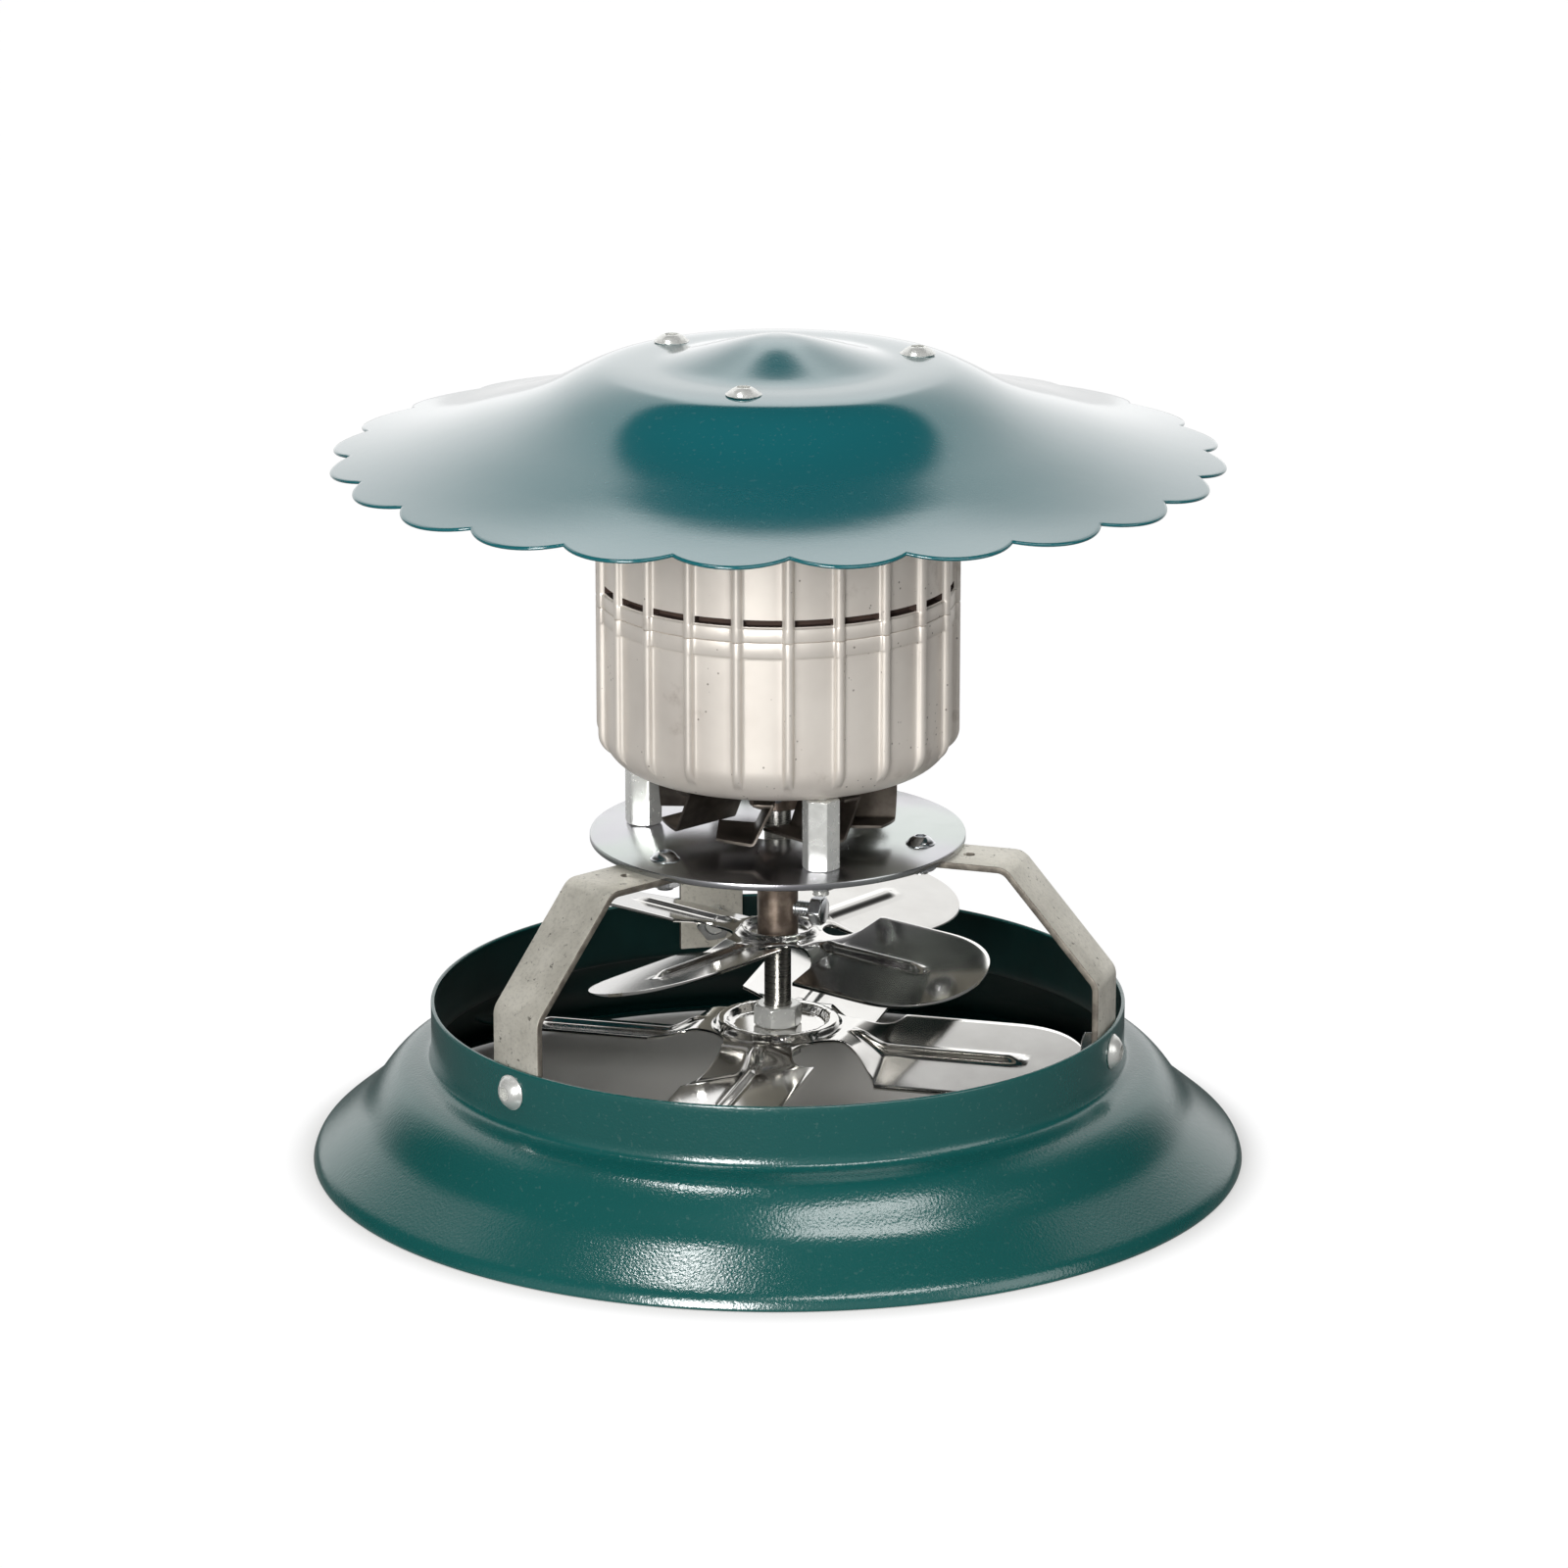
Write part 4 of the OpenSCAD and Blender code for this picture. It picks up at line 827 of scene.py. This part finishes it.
# Impellers
def impeller(name, node, spec):
    """One stamped sheet: a hub with a raised ring, and four pitched blades with a pressed rib."""
    hub, scoop, half, tip = spec["hub"], spec["scoop"], spec["half"], spec["tip"]
    middle = (hub + scoop) * math.cos(math.pi / BLADES)
    root, round_from, step_from = middle + scoop, tip - 1.3 * half, hub + 1
    rib_end, slope = tip - 0.9 * half, math.tan(math.radians(spec["pitch"]))
    ring_out, ring_in = hub - 1, hub * 0.75
    start = hub * math.cos(math.pi / BLADES)

    def half_width(u):
        if u < middle + scoop * 0.97:
            return min(middle - math.sqrt(max(scoop ** 2 - (u - middle) ** 2, 0)), half)
        if u < round_from:
            return half
        return half * math.sqrt(max(1 - ((u - round_from) / (tip - round_from)) ** 2.4, 0))

    def height(u, v):
        r = np.hypot(u, v)
        turn = ease((u - step_from) / (root - step_from))
        rib = ease((u - step_from) / 6) * ease((rib_end - u) / 5)
        bump = 1.6 * rib * ease(1.15 - np.abs(v) / 2.4)
        raised = 2.0 * ease((r - ring_in + 1.2) / 1.6) * ease((ring_out + 0.1 - r) / 1.6)
        return (v * slope - spec["step"]) * turn + bump + raised

    fine = np.arange(0, 0.145, 0.0145)
    side = np.concatenate([fine, np.linspace(fine[-1], 1, 13)[1:]])
    shares = np.concatenate([-side[:0:-1], side])
    us = np.concatenate([np.arange(start, hub + 1, 0.55), np.linspace(hub + 1, root, 16)[1:],
                         np.linspace(root, round_from, 16)[1:],
                         round_from + (tip - round_from) * np.sin(np.linspace(0, 0.975, 26)[1:] * math.pi / 2)])
    widths = np.array([half_width(u) for u in us])
    widths[0] = start
    shape = bmesh.new()
    turn = np.arctan(shares)
    hub_r = [spec["bore"] + (start / np.cos(turn) - spec["bore"]) * t for t in np.linspace(0, 0.9, 12)]
    rows = [np.stack([r * np.cos(turn), r * np.sin(turn)], -1) for r in hub_r]
    rows += [np.stack([np.full(len(shares), u), shares * w], -1) for u, w in zip(us, widths)]
    grid = np.array(rows)
    z = height(grid[..., 0], grid[..., 1])
    flat = np.concatenate([grid, z[..., None]], -1)
    for blade in range(BLADES):
        placed = spin(flat, blade * 360 / BLADES)
        made = [[shape.verts.new(q) for q in row] for row in placed]
        for i in range(len(made) - 1):
            for j in range(len(shares) - 1):
                shape.faces.new((made[i][j], made[i + 1][j], made[i + 1][j + 1], made[i][j + 1]))
    bmesh.ops.remove_doubles(shape, verts=shape.verts, dist=0.01)
    upper = list(shape.faces)
    lower = bmesh.ops.duplicate(shape, geom=list(shape.verts) + list(shape.edges) + upper)
    pairs = {a: b for a, b in lower["vert_map"].items() if isinstance(a, bmesh.types.BMVert)}
    over = set(upper)
    rims = [e for e in shape.edges if len(e.link_faces) == 1 and e.link_faces[0] in over]
    for e in rims:
        a, b = e.verts
        shape.faces.new((a, b, pairs[b], pairs[a]))
    for vert in [g for g in lower["geom"] if isinstance(g, bmesh.types.BMVert)]:
        vert.co.z -= IMP_T
    bmesh.ops.recalc_face_normals(shape, faces=shape.faces)
    brim = [e for e in shape.edges if len(e.link_faces) == 2 and e.calc_face_angle(0) > math.radians(55)]
    bmesh.ops.bevel(shape, geom=brim, offset=0.28, segments=2, profile=0.6, affect="EDGES", clamp_overlap=True)
    for vert in shape.verts:
        vert.co = Vector((spin(np.array(vert.co), spec["angle"]) + (0, 0, spec["z"])) * MM)
    mesh = bpy.data.meshes.new(name)
    shape.to_mesh(mesh)
    shape.free()
    mesh.shade_smooth()
    mesh.set_sharp_from_angle(angle=math.radians(50))
    piece(name, mesh, STAINLESS, "rotor", [node])


# Shaft group
def shaft_group():
    """Shaft, bush with its bolt, fan hub, washer, nuts and cooling fan."""
    rows = [(4.0, 46.0), (4.0, 129.0), (5.0, 133.5), (5.0, 210.4), (4.0, 210.6), (4.0, SHAFT_HIGH - 0.5),
            (3.5, SHAFT_HIGH)]
    form = Form().skin(lathe(rows, 64), caps=(True, True))
    form.skin(threaded(4.0, SHAFT_LOW, 46.2, 1.25, 64), caps=(True, True))
    piece("shaft_bar", form.mesh("shaft_bar"), GROUND, "rotor", ["shaft"])
    low = UPPER["z"]
    rows = [(4.03, low - 2.0), (4.9, low - 2.0), (5.3, low - 1.7), (5.3, low - 1.2), (5.0, low), (5.9, low),
            (6.1, low + 0.2), (6.1, low + 22.5), (5.75, low + 22.95), (4.4, low + 23), (4.03, low + 22.6)]
    form = Form().skin(lathe(rows, 96), loop=True)
    piece("bush_turned", form.mesh("bush_turned", 30), BROWN, "rotor", ["bush"])
    across = 8.0
    tip = [(3.7 + 0.95 * t, 0.5 * t, across) for t in np.linspace(0, 1, 5)]
    head = [(2.5, 0)] + tip + [(r, 4.0 - z, a) for r, z, a in tip[::-1]]
    start = 4.05
    reach = 6.1 + 5 - start
    form = Form()
    move = lambda q: spin(lay_outwards(q) + (start, 0, low + 8), 338)
    add(form, [(lathe([(r, z + reach, *a) for r, z, *a in head], 72, 30), (True, True)),
               (threaded(2.5, 0, reach + 0.2, 0.8), (True, True))], move)
    piece("bush_set_bolt", form.mesh("bush_set_bolt"), BRIGHT, "rotor", ["bush_screw"])
    hub_top, hub_h = MOTOR_Z - 3.5 - 0.8, 9.0
    rows = [(4.03, hub_top - hub_h + 0.3), (4.4, hub_top - hub_h), (8.1, hub_top - hub_h), (8.5, hub_top - hub_h + 0.4),
            (8.5, hub_top - 0.3), (8.2, hub_top), (4.03, hub_top)]
    form = Form().skin(lathe(rows, 96), loop=True)
    piece("fan_hub_turned", form.mesh("fan_hub_turned", 30), BROWN, "rotor", ["fan_hub"])
    z = LOWER["z"] - IMP_T
    rows = [(4.05, z), (7.8, z), (8, z - 0.2), (8, z - 1.4), (7.8, z - 1.6), (4.05, z - 1.6)]
    form = Form().skin(lathe(rows, 64), loop=True)
    piece("washer_ring", form.mesh("washer_ring", 30), BRIGHT, "rotor", ["impeller_washer"])
    form = Form()
    add(form, nut(8, 13, 6.5), lambda q: spin(q, 14) + (0, 0, LOWER["z"] + 6.5))
    add(form, nut(8, 13, 6.5), lambda q: spin(q, 40) + (0, 0, z - 1.6))
    piece("impeller_nut_set", form.mesh("impeller_nut_set"), SCREW, "rotor", ["impeller_nuts"])
    # The cooling fan's dark colour is painted shade.
    piece("cooling_fan_sheet", bevelled_copy("cooling_fan", 0.16), SHEET_SHADED, "rotor", ["cooling_fan"])


def inner_parts():
    """The gland, and finishes for the CAD nodes inside the motor."""
    piece("gland_moulding", bevelled_copy("gland_body", 0.3), PLASTIC, "housing", ["gland_body"])
    kept = {"stator_core": CORE, "windings": COPPER, "lower_bearing": BRIGHT, "upper_bearing": BRIGHT,
            "gland_nut": PLASTIC, "rotor_core": CORE, "fan_hub_screw": CORE}
    for node, finish in kept.items():
        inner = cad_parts[node]
        if not inner.data.materials:
            inner.data.materials.append(finish)
        for place in inner.material_slots:
            place.material = finish


# Studio
def studio():
    """Floor, room, lamps and camera."""
    scene = bpy.context.scene
    scene.view_settings.view_transform = "Standard"
    floor = bpy.data.meshes.new("floor")
    size = 6.0
    floor.from_pydata([(-size, -size, 0), (size, -size, 0), (size, size, 0), (-size, size, 0)], [], [(0, 1, 2, 3)])
    ground = bpy.data.objects.new("floor", floor)
    scene.collection.objects.link(ground)
    f = Finish("pale_floor")
    seen = f.node("ShaderNodeLightPath", out="Is Camera Ray")
    gloss = f.node("ShaderNodeLightPath", out="Is Glossy Ray")
    px, py, _ = f.axis(f.place())
    # Plain pale ground round the object, grey under it; behind it the floor is bright for what mirrors it.
    clear = f.between((px * px + py * py) ** 0.5, 0.13, 0.15)
    away = f.between(py, 0.1, 0.6)
    grey = f.mix(clear, (0.86, 0.84, 0.80, 1), (0.30, 0.30, 0.30, 1))
    grey = f.mix(gloss * clear, grey, (0.16, 0.16, 0.16, 1))
    matt = f.node("ShaderNodeBsdfDiffuse", None, {"Color": grey})
    glow = f.node("ShaderNodeEmission", None, {"Color": WHITE, "Strength": 1.07})
    f.node_out(f.node("ShaderNodeMixShader", None, {0: (seen * 0.93 + gloss * away * 0.8) * clear, 1: matt, 2: glow}))
    floor.materials.append(f.owner)

    world = bpy.data.worlds.new("studio")
    scene.world = world
    w = Finish("studio", world)
    spot = w.node("ShaderNodeTexCoord", out="Generated")
    x, y, z = w.axis(spot)
    seen = w.node("ShaderNodeLightPath", out="Is Camera Ray")
    gloss = w.node("ShaderNodeLightPath", out="Is Glossy Ray")
    # The room as the glossy pieces mirror it: a bright wall behind, brighter in the middle and low down, a dark
    # ceiling and dark sides, and a dim front.
    across = w.between(x, -0.8, -0.5) * w.between(x, 0.5, 0.8, 1, 0)
    wall = w.between(y, 0.05, 0.25) * across * w.between(z - x * x * 0.25, 0.655, 0.711, 1, 0)
    panel = w.between(x, -0.19, -0.10) * w.between(x, 0.10, 0.19, 1, 0)
    low = w.between(z, 0.3, 0.6, 1, 0)
    front = w.between(y, -0.5, -0.1, 1, 0) * w.between(z, 0.35, 0.55, 1, 0)
    level = 0.03 + wall * (0.95 + low * 0.25 + panel * (1 - low) * 0.8) + front * 0.3
    mirrored, lit, white = [w.node("ShaderNodeBackground", None, {"Color": WHITE, "Strength": strength})
                            for strength in (level, 0.40, 1.0)]
    room = w.node("ShaderNodeMixShader", None, {0: gloss, 1: lit, 2: mirrored})
    w.node_out(w.node("ShaderNodeMixShader", None, {0: seen, 1: room, 2: white}))

    def lamp(name, spot, aim, power, width, height):
        light = bpy.data.lights.new(name, "AREA")
        light.shape, light.size, light.size_y, light.energy = "RECTANGLE", width, height, power
        thing = bpy.data.objects.new(name, light)
        scene.collection.objects.link(thing)
        thing.location = spot
        thing.rotation_euler = (Vector(aim) - Vector(spot)).to_track_quat("-Z", "Y").to_euler()

    lamp("key", (-0.6, -1.95, 0.6), (0, 0, 0.14), 40, 0.7, 0.8)
    lamp("front_right", (0.51, -0.98, 1.3), (0, 0, 0.05), 8, 1.0, 0.34)
    lamp("right_fill", (1.7, -1.0, 0.7), (0, 0, 0.1), 5, 1.0, 1.0)
    lamp("overhead_left", (-0.39, -0.21, 1.56), (0, 0, 0.05), 4.4, 0.4, 0.14)

    eye = bpy.data.cameras.new("camera")
    eye.lens, eye.sensor_width, eye.sensor_fit = 152, 36, "HORIZONTAL"
    eye.clip_start, eye.clip_end = 0.05, 50
    view = bpy.data.objects.new("camera", eye)
    scene.collection.objects.link(view)
    tilt, away, side, aim_z = math.radians(16.14), 1968 * MM, 1.87 * MM, 114.8 * MM
    view.location = (side, -away * math.cos(tilt), aim_z + away * math.sin(tilt))
    view.rotation_euler = (math.pi / 2 - tilt, 0, 0)
    scene.camera = view


collar()
straps()
plate()
fasteners()
motor()
cap()
impeller("lower_impeller_stamping", "lower_impeller", LOWER)
impeller("upper_impeller_stamping", "upper_impeller", UPPER)
shaft_group()
inner_parts()
studio()
